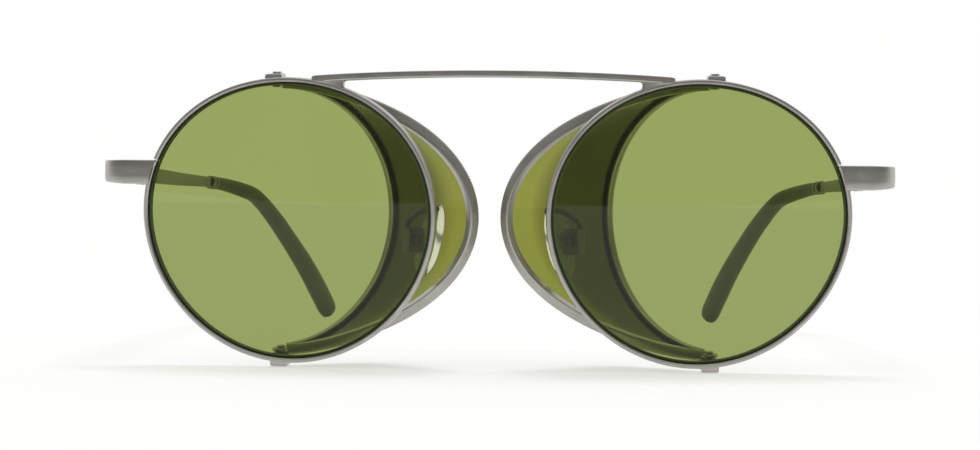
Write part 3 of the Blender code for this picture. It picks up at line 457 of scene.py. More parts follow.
def turned_steel(name):
    """Bright steel with a fine grain and slight clouds."""
    s = Shading(name)
    grain = s.noise(3800.0, 3.0)
    clouds = s.noise(700.0, 2.0)
    base = s.blend(s.ramp(clouds, 0.3, 0.7, 0.0, 1.0), (0.50, 0.49, 0.475), (0.66, 0.65, 0.635))
    s.set(Base_Color=base, Metallic=1.0, Roughness=s.ramp(grain, 0.3, 0.7, 0.17, 0.3),
          Normal=s.bump(grain, 0.12, 0.00003))
    return s.material


def tinted_lens(name):
    """Polished green glass with faint wiping marks and a few specks of dust."""
    s = Shading(name)
    wiped = s.node("ShaderNodeVectorMath", {0: s.place(), 1: (1.0, 1.0, 0.35)}, operation="MULTIPLY")
    marks = s.noise(60.0, 4.0, wiped.outputs[0])
    dots = s.node("ShaderNodeTexVoronoi", {"Vector": s.place(), "Scale": 95.0}, feature="F1")
    speck = s.ramp(dots.outputs["Distance"], 0.012, 0.02, 0.55, 0.0)
    chosen = s.math("GREATER_THAN", s.node("ShaderNodeSeparateColor",
                                           {0: dots.outputs["Color"]}).outputs[0], 0.8)
    tint = s.blend(s.ramp(marks, 0.3, 0.7, 0.0, 1.0), (0.315, 0.378, 0.119), (0.321, 0.385, 0.124))
    tint = s.blend(s.math("MULTIPLY", speck, chosen), tint, (0.2, 0.22, 0.1))
    s.set(Base_Color=tint, Transmission_Weight=1.0, IOR=1.36, Roughness=0.0,
          Normal=s.bump(marks, 0.02, 0.00005))
    s.clear_shadow((0.5, 0.58, 0.32))
    return s.material


def painted_shade_band(name):
    """Painted shade at the lens' ground edge: a dark opaque band in place of the shade in the rim's groove.
    """
    s = Shading(name)
    grind = s.noise(2600.0, 2.0)
    s.set(Base_Color=s.blend(grind, (0.072, 0.092, 0.038), (0.125, 0.155, 0.062)), Roughness=0.35, IOR=1.5,
          Normal=s.bump(grind, 0.2, 0.00004))
    return s.material


def tinted_panel(name):
    """Polished olive sheet, deeper in colour where seen edge on, with painted shade towards its front rim."""
    s = Shading(name)
    marks = s.noise(90.0, 3.0)
    facing = s.node("ShaderNodeLayerWeight", {"Blend": 0.5}).outputs["Facing"]
    across = s.node("ShaderNodeSeparateXYZ", {0: s.node("ShaderNodeUVMap", uv_map="flow").outputs["UV"]})
    across = s.math("PINGPONG", across.outputs[1], PANEL_WIDTH)
    # Painted shade: the sheet darkens towards its front rim, where it lies behind the lens.
    depth = s.ramp(across, 0.5 * PANEL_WIDTH, 0.76 * PANEL_WIDTH, 0.0, 1.0)
    square_on = s.blend(depth, (0.080, 0.083, 0.020), (0.300, 0.320, 0.060))
    along = s.blend(depth, (0.045, 0.049, 0.008), (0.115, 0.125, 0.015))
    tint = s.blend(s.ramp(facing, 0.15, 0.9, 0.0, 1.0), square_on, along)
    tint = s.blend(s.ramp(marks, 0.3, 0.7, 0.0, 0.1), tint, (0.2, 0.22, 0.045))
    s.set(Base_Color=tint, Transmission_Weight=1.0, IOR=1.16, Roughness=0.0,
          Normal=s.bump(marks, 0.02, 0.00006))
    s.clear_shadow((0.45, 0.47, 0.2))
    return s.material


def clear_silicone(name):
    """Soft clear silicone with a slightly frosted skin."""
    s = Shading(name)
    frost = s.noise(2400.0, 2.0)
    haze = s.noise(260.0, 3.0)
    s.set(Base_Color=s.blend(haze, (0.66, 0.67, 0.47), (0.74, 0.75, 0.56)), Transmission_Weight=0.96, IOR=1.3,
          Roughness=s.ramp(haze, 0.2, 0.8, 0.04, 0.12), Normal=s.bump(frost, 0.08, 0.00003))
    s.clear_shadow((0.86, 0.86, 0.82))
    return s.material


def moulded_plastic(name, colour, lighter):
    """Half-matt moulded plastic with a fine spark-eroded grain and rubbed patches."""
    s = Shading(name)
    grain = s.noise(3600.0, 2.0)
    rubbed = s.noise(120.0, 4.0)
    base = s.blend(s.ramp(rubbed, 0.35, 0.75, 0.0, 1.0), colour, lighter)
    s.set(Base_Color=base, Roughness=s.ramp(rubbed, 0.3, 0.8, 0.46, 0.33), IOR=1.5,
          Normal=s.bump(grain, 0.22, 0.00004))
    return s.material


gunmetal = satin_metal("gunmetal_satin", (0.485, 0.464, 0.442), (0.60, 0.577, 0.552), 0.34)
dark_metal = satin_metal("gunmetal_dark", (0.25, 0.243, 0.233), (0.33, 0.322, 0.31), 0.42)
# Painted shade: a much darker copy of the gunmetal for the pad arms, boxes and screws, in place of their
# shade behind the lens.
pad_shade_metal = satin_metal("gunmetal_painted_shade", (0.12, 0.116, 0.108), (0.17, 0.164, 0.155), 0.45)
steel = turned_steel("steel_turned")
glass = tinted_lens("lens_green_glass")
# Painted shade: the lens' edge band is dark and opaque.
lens_shade_band = painted_shade_band("painted_shade_lens_band")
panel_tint = tinted_panel("panel_olive_sheet")
silicone = clear_silicone("silicone_clear")
tip_plastic = moulded_plastic("tip_moulded", (0.066, 0.070, 0.052), (0.09, 0.094, 0.075))


# Placing

def dress(name, node, data, material, transform=NO_MOVE, side="left", replace=True):
    """Finish one piece, put it in the frame's metres, and let it ride with its CAD node's body."""
    data = data.copy()
    data.transform(transform)
    if side == "right":
        data.transform(Matrix.Diagonal((-1, 1, 1, 1)))
        data.flip_normals()
    data.transform(TO_FRAME)
    data.name = name
    data.shade_smooth()
    data.set_sharp_from_angle(angle=SHARP_ANGLE)
    if not data.materials:
        data.materials.append(material)
    obj = bpy.data.objects.new(name, data)
    bpy.context.scene.collection.objects.link(obj)
    obj.modifiers.new("normals", "WEIGHTED_NORMAL").keep_sharp = True
    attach(obj, BODY_OF[node])
    if replace:
        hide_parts(node)


def dress_pair(name, node, data, material, transform=NO_MOVE, replace=True):
    """Dress both sides; the transform may differ from side to side."""
    for side in SIDES:
        matrix = transform[side] if isinstance(transform, dict) else transform
        dress(f"{name}_{side}", f"{node}_{side}", data, material, matrix, side, replace)


# Rim and lens

def rim_outline(angle, inset=0.0):
    """A point on the rim's outline, an ellipse with a slight threefold bulge."""
    fullness = RIM_FULLNESS * math.sin(3 * angle)
    return ((RIM_HALF_WIDTH + fullness - inset) * math.cos(angle),
            (RIM_HALF_HEIGHT + fullness - inset) * math.sin(angle))


def rim_point(angle, back=0.0, inset=0.0):
    """The same point in the front's coordinates, at a depth behind the lens plane."""
    x, z = rim_outline(angle, inset)
    return LENS @ Vector((x, back, z))


def rim_mesh(steps=176):
    """A split eyewire: rounded outside, flat in front with an inner chamfer, grooved for the lens."""
    half, wall = RIM_DEPTH / 2, RIM_WALL
    section = soften([
        (0.0, half, 0.42), (0.0, -half, 0.42), (0.52, -half, 0.04), (wall, -0.80, 0.05), (wall, -0.58, 0.03),
        (0.34, 0.0, 0.06), (wall, 0.58, 0.03), (wall, 0.80, 0.05), (0.6, half, 0.08),
    ], 0.1, 4)
    start = RIM_SPLIT + RIM_SPLIT_GAP / RIM_HALF_WIDTH / 2
    turn = 2 * math.pi - RIM_SPLIT_GAP / RIM_HALF_WIDTH
    return loft([[rim_point(start + turn * k / steps, back, inset) for inset, back in section]
                 for k in range(steps + 1)])


def lens_mesh(steps=144):
    """A bulged lens; its bead and ground shoulder are dark with painted shade."""
    shoulder = RIM_HALF_WIDTH - LENS_SHOULDER_INSET
    shares = [0.012] + [k / 14 for k in range(1, 15)]
    lines = []
    for side in (-1, 1):
        face = [(share * shoulder, side * LENS_HALF - LENS_BULGE * (1 - share ** 2)) for share in shares]
        face += [(shoulder + 0.1, side * (LENS_HALF - 0.1)), (shoulder + 0.14, side * 0.42)]
        lines.append(face)
    profile = lines[0] + [(RIM_HALF_WIDTH - LENS_EDGE_INSET, 0.0)] + list(reversed(lines[1]))
    rings = []
    for radius, back in profile:
        inset = min(RIM_HALF_WIDTH - radius, LENS_SHOULDER_INSET)
        shrink = min(1.0, radius / shoulder)
        outline = [rim_outline(2 * math.pi * k / steps, inset) for k in range(steps)]
        rings.append([(x * shrink, back, z * shrink) for x, z in outline])
    data = loft(rings)
    data.materials.append(glass)
    data.materials.append(lens_shade_band)
    # Painted shade: faces beyond the shoulder take the dark opaque band.
    for face in data.polygons:
        x, _, z = face.center
        limit = Vector(rim_outline(math.atan2(z / RIM_HALF_HEIGHT, x / RIM_HALF_WIDTH), LENS_SHOULDER_INSET))
        if math.hypot(x, z) > limit.length * 0.9995:
            face.material_index = 1
    return data


dress_pair("rim_detail", "rim", rim_mesh(), gunmetal)
dress_pair("lens_detail", "lens", lens_mesh(), glass, LENS)


# Side shield

def shield_edge(half, plane, angle):
    """A point on a half ring whose ends reach the two eyelets, in a plane turned about the pivots."""
    rise = math.sin(angle)
    height = half[1] + (PIVOT_HALF_HEIGHT - half[1]) * abs(rise) ** SHIELD_END_POWER
    reach = half[0] * math.cos(angle)
    return Vector((-reach * math.cos(plane), -reach * math.sin(plane), height * rise))


def front_edge(angle):
    return shield_edge(FRONT_RIM_HALF, 0.0, angle)


def rear_edge_of(side):
    return lambda angle: shield_edge(REAR_RIM_HALF[side], SHIELD_WEDGE, angle)


def edge_axes(edge, opposite, angle):
    """Across the panel, square to it on its outer side, and its width, at one point of an edge."""
    step = math.radians(0.5)
    along = (edge(angle + step) - edge(angle - step)).normalized()
    across = opposite(angle) - edge(angle)
    normal = along.cross(across).normalized()
    across = normal.cross(along).normalized()
    if across.dot(opposite(angle) - edge(angle)) < 0:
        across = -across
    if normal.dot(edge(angle)) < 0:
        normal = -normal
    return across, normal, (opposite(angle) - edge(angle)).length


def channel_mesh(edge, opposite, half_width, steps=110):
    """A U channel along one edge of the panel: round back, a raised band on each side, thinner lips."""
    end = math.acos(CHANNEL_END / half_width)
    rings = []
    for k in range(steps + 1):
        angle = end * (2 * k / steps - 1)
        across, normal, width = edge_axes(edge, opposite, angle)
        lip = min(CHANNEL_LIP, CHANNEL_LIP_SHARE * width)
        web, half = CHANNEL_WEB, CHANNEL_HALF
        upper = [(-web, half - 0.34, 0.12), (-web + 0.1, half, 0.2), (lip * 0.3, half, 0.05),
                 (lip * 0.42, half - 0.07, 0.05), (lip, half - 0.07, 0.1), (lip, SLOT_HALF, 0.05),
                 (0.0, SLOT_HALF, 0.1)]
        section = soften(upper + [(u, -v, r) for u, v, r in reversed(upper)], 0.1, 3)
        rings.append([edge(angle) + u * across + v * normal for u, v in section])
    return loft(rings)


def panel_mesh(rear_edge, steps=96, columns=10):
    """The tinted sheet, held by both channels."""
    rings = []
    for k in range(steps + 1):
        angle = PANEL_END * (2 * k / steps - 1)
        seats = []
        for edge, opposite in ((front_edge, rear_edge), (rear_edge, front_edge)):
            across, normal, _ = edge_axes(edge, opposite, angle)
            seats.append((edge(angle) + 0.1 * across, normal))
        ring = []
        for sign in (1, -1):
            for j in range(columns + 1):
                share = j / columns if sign == 1 else 1 - j / columns
                point = seats[0][0].lerp(seats[1][0], share)
                normal = seats[0][1].lerp(seats[1][1], share).normalized()
                ring.append(point + sign * PANEL_HALF * normal)
        rings.append(ring)
    return loft(rings)


def eyelet_mesh(height):
    """A flat ring that turns on a pivot screw."""
    section = soften([(PIVOT_BORE, EYELET_HALF), (EYELET_RADIUS, EYELET_HALF), (EYELET_RADIUS, -EYELET_HALF),
                      (PIVOT_BORE, -EYELET_HALF)], 0.1)
    return moved(turned(section, 48, closed=True), Matrix.Translation((0, 0, height)))


for side in SIDES:
    rear_edge = rear_edge_of(side)
    dress(f"shield_front_rim_detail_{side}", f"shield_front_rim_{side}",
          channel_mesh(front_edge, rear_edge, FRONT_RIM_HALF[0]), gunmetal, SHIELD, side)
    dress(f"shield_rear_rim_detail_{side}", f"shield_rear_rim_{side}",
          channel_mesh(rear_edge, front_edge, REAR_RIM_HALF[side][0]), gunmetal, SHIELD, side)
    dress(f"shield_sheet_{side}", f"shield_panel_{side}", panel_mesh(rear_edge), panel_tint,
          SHIELD, side)
for level, sign in (("upper", 1), ("lower", -1)):
    dress_pair(f"eyelet_detail_{level}", f"shield_eyelet_{level}", eyelet_mesh(sign * PIVOT_HALF_HEIGHT),
               gunmetal, SHIELD)


# Pivot lugs and screws

def lug_mesh(outer_face, seat):
    """A lug brazed to the rim's back, round behind the screw and recessed for its head."""
    front = RIM_DEPTH / 2 - PIVOT_BACK - LUG_SINK
    outline = [(-LUG_RADIUS - 0.05, front), (LUG_RADIUS + 0.05, front)] + arc(LUG_RADIUS, 0, math.pi, 24)
    body = plate([outline], LUG_INNER, outer_face, 0.3)
    recess = HEAD_RADIUS + 0.12
    hole = turned([(0, outer_face + 1), (recess, outer_face + 1), (recess, seat),
                   (PIVOT_BORE, seat), (PIVOT_BORE, LUG_INNER - 1), (0, LUG_INNER - 1)], 40)
    return cut(body, hole)


def pivot_screw_mesh(seat, turn):
    """A pivot screw: a slotted head in the lug's recess, and a thick end that keeps the eyelet on."""
    head = seat + HEAD_LIFT
    nub = PIVOT_HALF_HEIGHT - EYELET_HALF - 0.12
    top = head + HEAD_HEIGHT
    profile = soften([
        (0, top), (HEAD_RADIUS, top, 0.16), (HEAD_RADIUS, head, 0.05), (SHANK_RADIUS, head, 0.03),
        (SHANK_RADIUS, nub, 0.03), (NUB_RADIUS, nub, 0.05), (NUB_RADIUS, nub - NUB_HEIGHT, 0.15),
        (0, nub - NUB_HEIGHT - 0.04),
    ], 0.05, closed=False)
    return slotted(turned(profile, 48), HEAD_RADIUS, top, 0.25, 0.26, turn)


for level, sign, face, recess, turn in (("upper", 1, LUG_TOP, RECESS_TOP, 24),
                                        ("lower", -1, LUG_BOTTOM, RECESS_BOTTOM, 70)):
    flip = Matrix.Diagonal((1, 1, sign, 1))
    lug = moved(lug_mesh(face, face - recess), flip)
    screw = moved(pivot_screw_mesh(face - recess, turn), flip)
    if sign < 0:
        lug.flip_normals()
        screw.flip_normals()
    dress_pair(f"lug_detail_{level}", f"shield_lug_{level}", lug, gunmetal, PIVOT)
    dress_pair(f"pivot_screw_detail_{level}", f"shield_screw_{level}", screw, steel, PIVOT)


# Endpiece, hinge and rim lock

def bar_section(half_thick, half_high, crown=0.1):
    """A bar's section: a crowned outer face, round corners, a flat inner face."""
    return soften([(half_thick - 0.12, -half_high, 0.3), (half_thick, -half_high * 0.45, 0.3),
                   (half_thick, half_high * 0.5, 0.3), (half_thick - crown, half_high, 0.22),
                   (-half_thick, half_high, 0.2), (-half_thick, -half_high, 0.2)], 0.2, 4)


def knuckle(level, backwards):
    """A hinge knuckle and the web that joins it to its bar."""
    reach = BARREL_RADIUS + BARREL_GAP + ENDPIECE_THICKNESS / 3
    low, high = BARREL_WEB
    outline = arc(BARREL_RADIUS, math.asin(high), 2 * math.pi + math.asin(low), 32)
    outline += [(reach, BARREL_RADIUS * low), (reach, BARREL_RADIUS * high)]
    outline = [(x, backwards * y) for x, y in outline]
    half = KNUCKLE_HEIGHT / 2
    return moved(plate([outline, circle(SCREW_HOLE, 24)], level - half, level + half, 0.07), HINGE)


def endpiece_mesh():
    """A plate that laps over the rim, turns back at a round corner and carries two knuckles."""
    root_half = ROOT_HEIGHT / 2 - 0.1
    root_low = ENDPIECE_TOP - 2 * root_half
    arm_low = ENDPIECE_TOP - ARM_HEIGHT + ARM_TAPER * 0.6
    rings = []
    for inset, back in ((0.56, LAP_REAR), (0.3, LAP_REAR), (0.05, LAP_REAR), (-0.2, ROOT_REAR),
                        (-0.6, ROOT_REAR)):
        half = (back - ROOT_FACE) / 2
        ring = []
        for u, v in bar_section(half, root_half):
            height = ENDPIECE_TOP - root_half + v
            angle = math.asin((height - LENS_HEIGHT) / RIM_HALF_HEIGHT)
            ring.append(Vector((rim_point(angle, -RIM_DEPTH / 2, inset).x, ROOT_FACE + half - u, height)))
        rings.append(ring)
    inner_face = ARM_MIDDLE - ENDPIECE_THICKNESS / 2
    steps = 16
    outer_plan = arc(ARM_OUTER_CORNER, -math.pi / 2, 0, steps,
                     (ARM_OUTER_FACE - ARM_OUTER_CORNER, ROOT_FACE + ARM_OUTER_CORNER))
    inner_plan = arc(ARM_INNER_CORNER, -math.pi / 2, 0, steps,
                     (inner_face - ARM_INNER_CORNER, ROOT_REAR + ARM_INNER_CORNER))
    for back, flare in ARM_FLARE:
        outer_plan.append((ARM_OUTER_FACE + flare, back))
        inner_plan.append((inner_face, back))
    for k, (outer, inner) in enumerate(zip(outer_plan, inner_plan)):
        share = min(1.0, k / steps)
        low = root_low + (arm_low - root_low) * share
        high = ENDPIECE_TOP - ARM_TAPER * share
        outer, inner = Vector(outer), Vector(inner)
        half = (outer - inner).length / 2
        middle, across = (outer + inner) / 2, (outer - inner).normalized()
        rings.append([Vector((*(middle + u * across), (high + low) / 2 + v))
                      for u, v in bar_section(half, (high - low) / 2)])
    return joined(loft(rings), knuckle(KNUCKLE_PITCH, -1), knuckle(-KNUCKLE_PITCH, -1))


def screw_mesh(head_radius, shank_radius, top, height, end, turn):
    """A slotted screw with a low round head, its end level with what it holds."""
    profile = soften([(0, top), (head_radius, top, 0.14), (head_radius, top - height, 0.04),
                      (shank_radius, top - height, 0.03), (shank_radius, end, 0.08), (0, end)],
                     0.05, closed=False)
    return slotted(turned(profile, 44), head_radius, top, 0.2, 0.24, turn)


def lock_line():
    """The lock screw's line, behind the endpiece and beside the rim's split."""
    out = rim_point(RIM_SPLIT).x + LOCK_OUT + LOCK_HALF
    return Matrix.Translation((out, ROOT_REAR + LOCK_BACK, ENDPIECE_TOP - ROOT_HEIGHT / 2))


dress_pair("endpiece_detail", "endpiece", endpiece_mesh(), gunmetal)
dress_pair("hinge_screw_detail", "hinge_screw",
           screw_mesh(head_radius=0.95, shank_radius=0.42, top=BARREL_HEIGHT / 2 + 0.5, height=0.4,
                      end=-BARREL_HEIGHT / 2, turn=35),
           steel, HINGE)
lock_outline = block(LOCK_HALF, LOCK_HALF_DEPTH, 0.3)
lock_hole = circle(SCREW_HOLE, 24)
for level, low, high in (("upper", LOCK_SPLIT, LOCK_HALF), ("lower", -LOCK_HALF, -LOCK_SPLIT)):
    dress_pair(f"lock_block_{level}", f"rim_lock_{level}", plate([lock_outline, lock_hole], low, high, 0.1),
               gunmetal, lock_line())
dress_pair("lock_screw_detail", "rim_lock_screw",
           moved(screw_mesh(head_radius=0.85, shank_radius=0.4, top=LOCK_HALF + 0.6, height=0.45,
                            end=-LOCK_HALF, turn=50), Matrix.Rotation(math.pi, 4, "X")),
           steel, lock_line())


# Temple, drawn straight back from the hinge line

def temple_line(side="left", steps=88):
    """The ear tip's middle line, as (back, inward, height) points from the end of the bar."""
    route = [Vector((along * TIP_RUN, inward * TIP_INWARD, -fall * TIP_FALL))
             for along, inward, fall in TIP_ROUTE_SHARES + TIP_LAST_SHARES[side]]
    start = Vector((BAR_LENGTH, 0, -BAR_DROP))
    return [start + point for point in smooth_through(route, steps)]


def temple_place(point):
    """A (back, inward, height) point in the coordinates of the open hinge."""
    back, inward, height = point
    return Vector((ARM_MIDDLE - HINGE_OUT - inward, back, height))


def station(line, k, half_out, half_up, outline):
    """A section square to the line at one of its points."""
    ahead = temple_place(line[min(k + 1, len(line) - 1)]) - temple_place(line[max(k - 1, 0)])
    ahead.normalize()
    out = ahead.cross(Vector((0, 0, 1))).normalized()
    up = out.cross(ahead)
    centre = temple_place(line[k])
    return [centre + u * half_out * out + v * half_up * up for u, v in outline]


def temple_mesh():
    """A tapering bar with the middle knuckle, narrowed where it enters the collar."""
    rings = []
    for k in range(BAR_STEPS + 1):
        back = HINGE_HALF_GAP + (BAR_LENGTH - HINGE_HALF_GAP) * k / BAR_STEPS
        share = back / BAR_LENGTH
        height = BAR_HEIGHT - BAR_HEIGHT_LOSS * share
        thickness = BAR_THICKNESS - BAR_THICKNESS_LOSS * share
        middle = temple_place((back, 0, -BAR_DROP * between(BAR_DROP_SHARES, share)))
        rings.append([middle + Vector((u, 0, v)) for u, v in bar_section(thickness / 2, height / 2, 0.06)])
    end = temple_place((BAR_LENGTH + 0.35, 0, -BAR_DROP))
    rings.append([end + 0.8 * (point - temple_place((BAR_LENGTH, 0, -BAR_DROP))) for point in rings[-1]])
    middle_knuckle = moved(knuckle(0.0, 1), HINGE.inverted())
    return joined(loft(rings), middle_knuckle)


def line_direction(back):
    """The direction and the place of the ear tip's line at a distance back."""
    line = temple_line()
    for here, there in zip(line, line[1:]):
        if there.x >= back:
            share = (back - here.x) / (there.x - here.x)
            start, end = temple_place(here), temple_place(there)
            return (end - start).normalized(), start.lerp(end, share)


def collar_mesh():
    """Two rings with a groove between them."""
    half = COLLAR_LENGTH / 2 + 0.2
    profile = soften([
        (0, half, 0), (1.12, half, 0.1), (COLLAR_RADIUS, half - 0.25, 0.1), (COLLAR_RADIUS, 0.28, 0.08),
        (COLLAR_GROOVE, 0.22, 0.04), (COLLAR_GROOVE, -0.22, 0.04), (COLLAR_RADIUS, -0.28, 0.08),
        (COLLAR_RADIUS, 0.25 - half, 0.1), (1.15, -half, 0.1), (0, -half, 0),
    ], 0.1, closed=False)
    ahead, middle = line_direction(COLLAR_START + COLLAR_LENGTH / 2)
    turn = Vector((0, 0, 1)).rotation_difference(ahead).to_matrix().to_4x4()
    return moved(turned(profile, 44), Matrix.Translation(middle) @ turn)


def tip_mesh(side, sides=28):
    """The ear tip: round at the collar, swelling and flattening towards a blunt round end."""
    start = COLLAR_START + COLLAR_LENGTH + 0.05
    line = [point for point in temple_line(side) if point.x >= start]
    total = line[-1].x - line[0].x
    outline = circle(1, sides)
    rings = []
    for k, point in enumerate(line):
        share = (point.x - line[0].x) / total
        swell = between(TIP_SWELL_SHARES, share)
        left = max(0.0, 1 - share)
        nose = (1 - (1 - min(1.0, left / TIP_ROUNDING)) ** 2.2) ** 0.5
        nose = 0.3 + 0.7 * nose if left < TIP_ROUNDING else 1.0
        first = 0.9 if k == 0 else 1.0
        half_up = (TIP_START_RADIUS + (TIP_END_UP - TIP_START_RADIUS) * swell) * nose * first
        half_out = (TIP_START_RADIUS + (TIP_END_OUT - TIP_START_RADIUS) * swell) * nose * first
        rings.append(station(line, k, half_out, half_up, outline))
    return loft(rings)


temple_sides = {side: HINGE @ Matrix.Rotation(TEMPLE_SWING[side] - TEMPLE_SPLAY, 4, "Z") for side in SIDES}
dress_pair("temple_detail", "temple", temple_mesh(), dark_metal, temple_sides)
dress_pair("collar_detail", "temple_collar", collar_mesh(), dark_metal, temple_sides)
for side in SIDES:
    dress(f"ear_tip_detail_{side}", f"ear_tip_{side}", tip_mesh(side), tip_plastic,
          temple_sides[side], side)


# Nose pads

def pad_mesh(rows=22, sides=36):
    """A soft oval pad, fuller below, with flat faces and a round rim."""
    depth, width, height = PAD_HALF
    rings = []
    for i in range(1, rows):
        level = math.cos(math.pi * i / rows)
        spread = (1 - abs(level) ** PAD_FULLNESS) ** (1 / PAD_FULLNESS)
        taper = (1 - PAD_TAPER * level) / (1 + PAD_TAPER)
        ring = []
        for j in range(sides):
            a = 2 * math.pi * j / sides
            c, s = math.cos(a), math.sin(a)
            reach = spread * (abs(c) ** PAD_SQUARENESS + abs(s) ** PAD_SQUARENESS) ** (-1 / PAD_SQUARENESS)
            ring.append(Vector((depth * reach * c, width * taper * reach * s, height * level)))
        rings.append(ring)
    lean = Matrix.Rotation(-PAD_TILT, 4, "Y")
    return moved(loft(rings), Matrix.Translation((-PAD_OFFSET, 0, 0)) @ lean)


def pad_tab_mesh():
    """The pad's tab, which turns on the pad screw."""
    outline = [(-PAD_OFFSET, 1.0), (-PAD_OFFSET, -1.0)] + arc(1.1, -math.pi / 2, math.pi / 2, 18)
    return moved(plate([outline, circle(SCREW_HOLE, 24)], -0.45, 0.45, 0.1), ALONG_Y)


def pad_box_mesh():
    """A folded box that holds the pad's tab."""
    d, wall, mouth, back = 1.2, 0.45, 1.25, 1.4
    outline = soften([(-mouth, -d, 0.1), (back, -d, 0.35), (back, d, 0.35), (-mouth, d, 0.1),
                      (-mouth, d - wall, 0.1), (back - wall, d - wall, 0.15), (back - wall, wall - d, 0.15),
                      (-mouth, wall - d, 0.1)], 0.1)
    walls = plate([outline], -2.0, 2.0, 0.1)
    hole = moved(turned([(0, 3), (SCREW_HOLE, 3), (SCREW_HOLE, -3), (0, -3)], 32), ALONG_Y)
    return cut(walls, hole)


def pad_arm_mesh():
    """A wire brazed to the rim's back, bent up and over to the pad box."""
    start = rim_point(PAD_ARM_ANGLE, back=0.75, inset=0.6)
    leave = rim_point(PAD_ARM_ANGLE, back=2.75, inset=0.6)
    turn = Matrix.Rotation(-PAD_TURN, 4, "Z")
    end = PAD_PIVOT + turn @ Vector((0.95, 0, 1.7))
    above = PAD_PIVOT + turn @ Vector((0.95, 0, 3.0))
    crest = (leave + above) / 2 + Vector((0, 0, 0.7))
    points = smooth_through([start, leave, crest, above, end], 40)
    radii = [PAD_ARM_RADIUS + PAD_ARM_BRAZE * math.exp(-(length / 0.55) ** 2) for length in lengths(points)]
    return tube(points, radii, 18)


# Painted shade: the pad fittings take the darkened copy of the gunmetal.
dress_pair("pad_arm_detail", "pad_arm", pad_arm_mesh(), pad_shade_metal)
dress_pair("pad_box_detail", "pad_box", pad_box_mesh(), pad_shade_metal, PAD)
dress_pair("pad_screw_detail", "pad_screw",
           moved(screw_mesh(head_radius=0.9, shank_radius=0.4, top=1.87, height=0.45, end=-1.4, turn=15),
                 ALONG_Y),
           pad_shade_metal, PAD)
dress_pair("nose_pad_detail", "nose_pad", pad_mesh(), silicone, PAD)
dress_pair("pad_tab_detail", "nose_pad", pad_tab_mesh(), steel, PAD, replace=False)


# Bridge

def bar_top(x):
    """The height of the bar's arched top across the front."""
    return BRIDGE_TOP - BRIDGE_ARCH * (x / rim_point(BRIDGE_END).x) ** 2


def bridge_place(x):
    """The rim's angle above a place across the front, as far in as the bar touches it."""
    low, high = BRIDGE_END, BRIDGE_SEAT
    for _ in range(40):
        middle = (low + high) / 2
        low, high = (middle, high) if rim_point(middle).x > x else (low, middle)
    return low


def bridge_mesh(steps=72):
    """An arched bar on the two rims, rounded off at both ends."""
    tip = rim_point(BRIDGE_END).x - 0.1
    inner = rim_point(BRIDGE_SEAT).x
    full = tip - BRIDGE_ROUNDING
    stops = [tip, tip - 0.12, tip - 0.35, full]
    stops += [full + (inner - full) * k / 6 for k in range(1, 7)]
    stops += [inner * (1 - k / steps) for k in range(1, steps)]
    rings = []
    for x in stops + [0.0] + [-x for x in reversed(stops)]:
        reach = abs(x)
        back = rim_point(bridge_place(reach) if reach > inner else BRIDGE_SEAT).y
        left = tip - reach
        shrink = 1.0
        if left <= BRIDGE_ROUNDING:
            shrink = 0.45 + 0.55 * (1 - (1 - left / BRIDGE_ROUNDING) ** 2) ** 0.5
        height = BRIDGE_HEIGHT * shrink
        top = bar_top(x) - (BRIDGE_HEIGHT - height) * 0.35
        depth = BRIDGE_DEPTH / 2 * (0.7 + 0.3 * shrink)
        section = soften([(-depth, -height / 2, 0.3), (-depth, height / 2, 0.16), (depth, height / 2, 0.2),
                          (depth, -height / 2, 0.25)], 0.2, 4)
        rings.append([Vector((x, back + u, top - height / 2 + v)) for u, v in section])
    return loft(rings)


def bridge_web_mesh():
    """The braze under each end of the bar: a wedge on the rim with a round notch towards the nose."""
    inner_angle = BRIDGE_SEAT + math.radians(1.2)
    outer = [(rim_point(a).x, rim_point(a, inset=0.35).z)
             for a in (BRIDGE_END + (inner_angle - BRIDGE_END) * k / 12 for k in range(13))]
    x_in, low = outer[-1]
    high = bar_top(x_in) - BRIDGE_HEIGHT + 0.3
    notch = [(x_in, low), (x_in + 0.25, low + 0.3), (x_in + 0.62, low + 0.62),
             (x_in + 0.62, high - 0.5), (x_in + 0.25, high - 0.28), (x_in - 0.5, high)]
    top = [(x, bar_top(x) - BRIDGE_HEIGHT + 0.4) for x, _ in outer]
    outline = outer[:-1] + soften(notch, 0.3, 4, closed=False) + list(reversed(top[:-1]))
    data = plate([outline], -0.8, 0.8, 0.12)
    back = rim_point(math.radians(108)).y
    return moved(data, Matrix.Translation((0, back, 0)) @ ALONG_Y)


dress("bridge_detail", "bridge", bridge_mesh(), gunmetal)
for side in SIDES:
    dress(f"bridge_web_{side}", "bridge", bridge_web_mesh(), gunmetal, side=side, replace=False)


# Floor, light and camera

WHITE = (0.995, 0.995, 0.99)
ROOM_IN_FRONT = (0.255, 0.247, 0.24)
THROUGH_GLASS = (0.93, 0.93, 0.922)
TABLE_GLOW = 0.5
TABLE_CORNERS = [(-1.2, -0.25), (1.2, -0.25), (1.2, 2.4), (-1.2, 2.4)]
TABLE_LEVEL = -0.00003
FADE_CENTRE, FADE_START, FADE_END = (0, -0.03, 0), 0.12, 0.21
WHITE_BEHIND, WHITE_ABOVE, FILL_STRENGTH = (-0.25, 0.35), (0.55, 0.95), 0.72
LAMP_PLACE, LAMP_SIZE, LAMP_POWER = (0.05, 0.12, 0.9), 0.35, 3.2
CAMERA_PLACE = (0.028964, -0.446611, 0.030437)
CAMERA_YAW, CAMERA_PITCH, CAMERA_ROLL = math.radians(4.4455), math.radians(-0.925), math.radians(-0.513)
CAMERA_LENS, CAMERA_SHIFT = 87.248, -0.006085


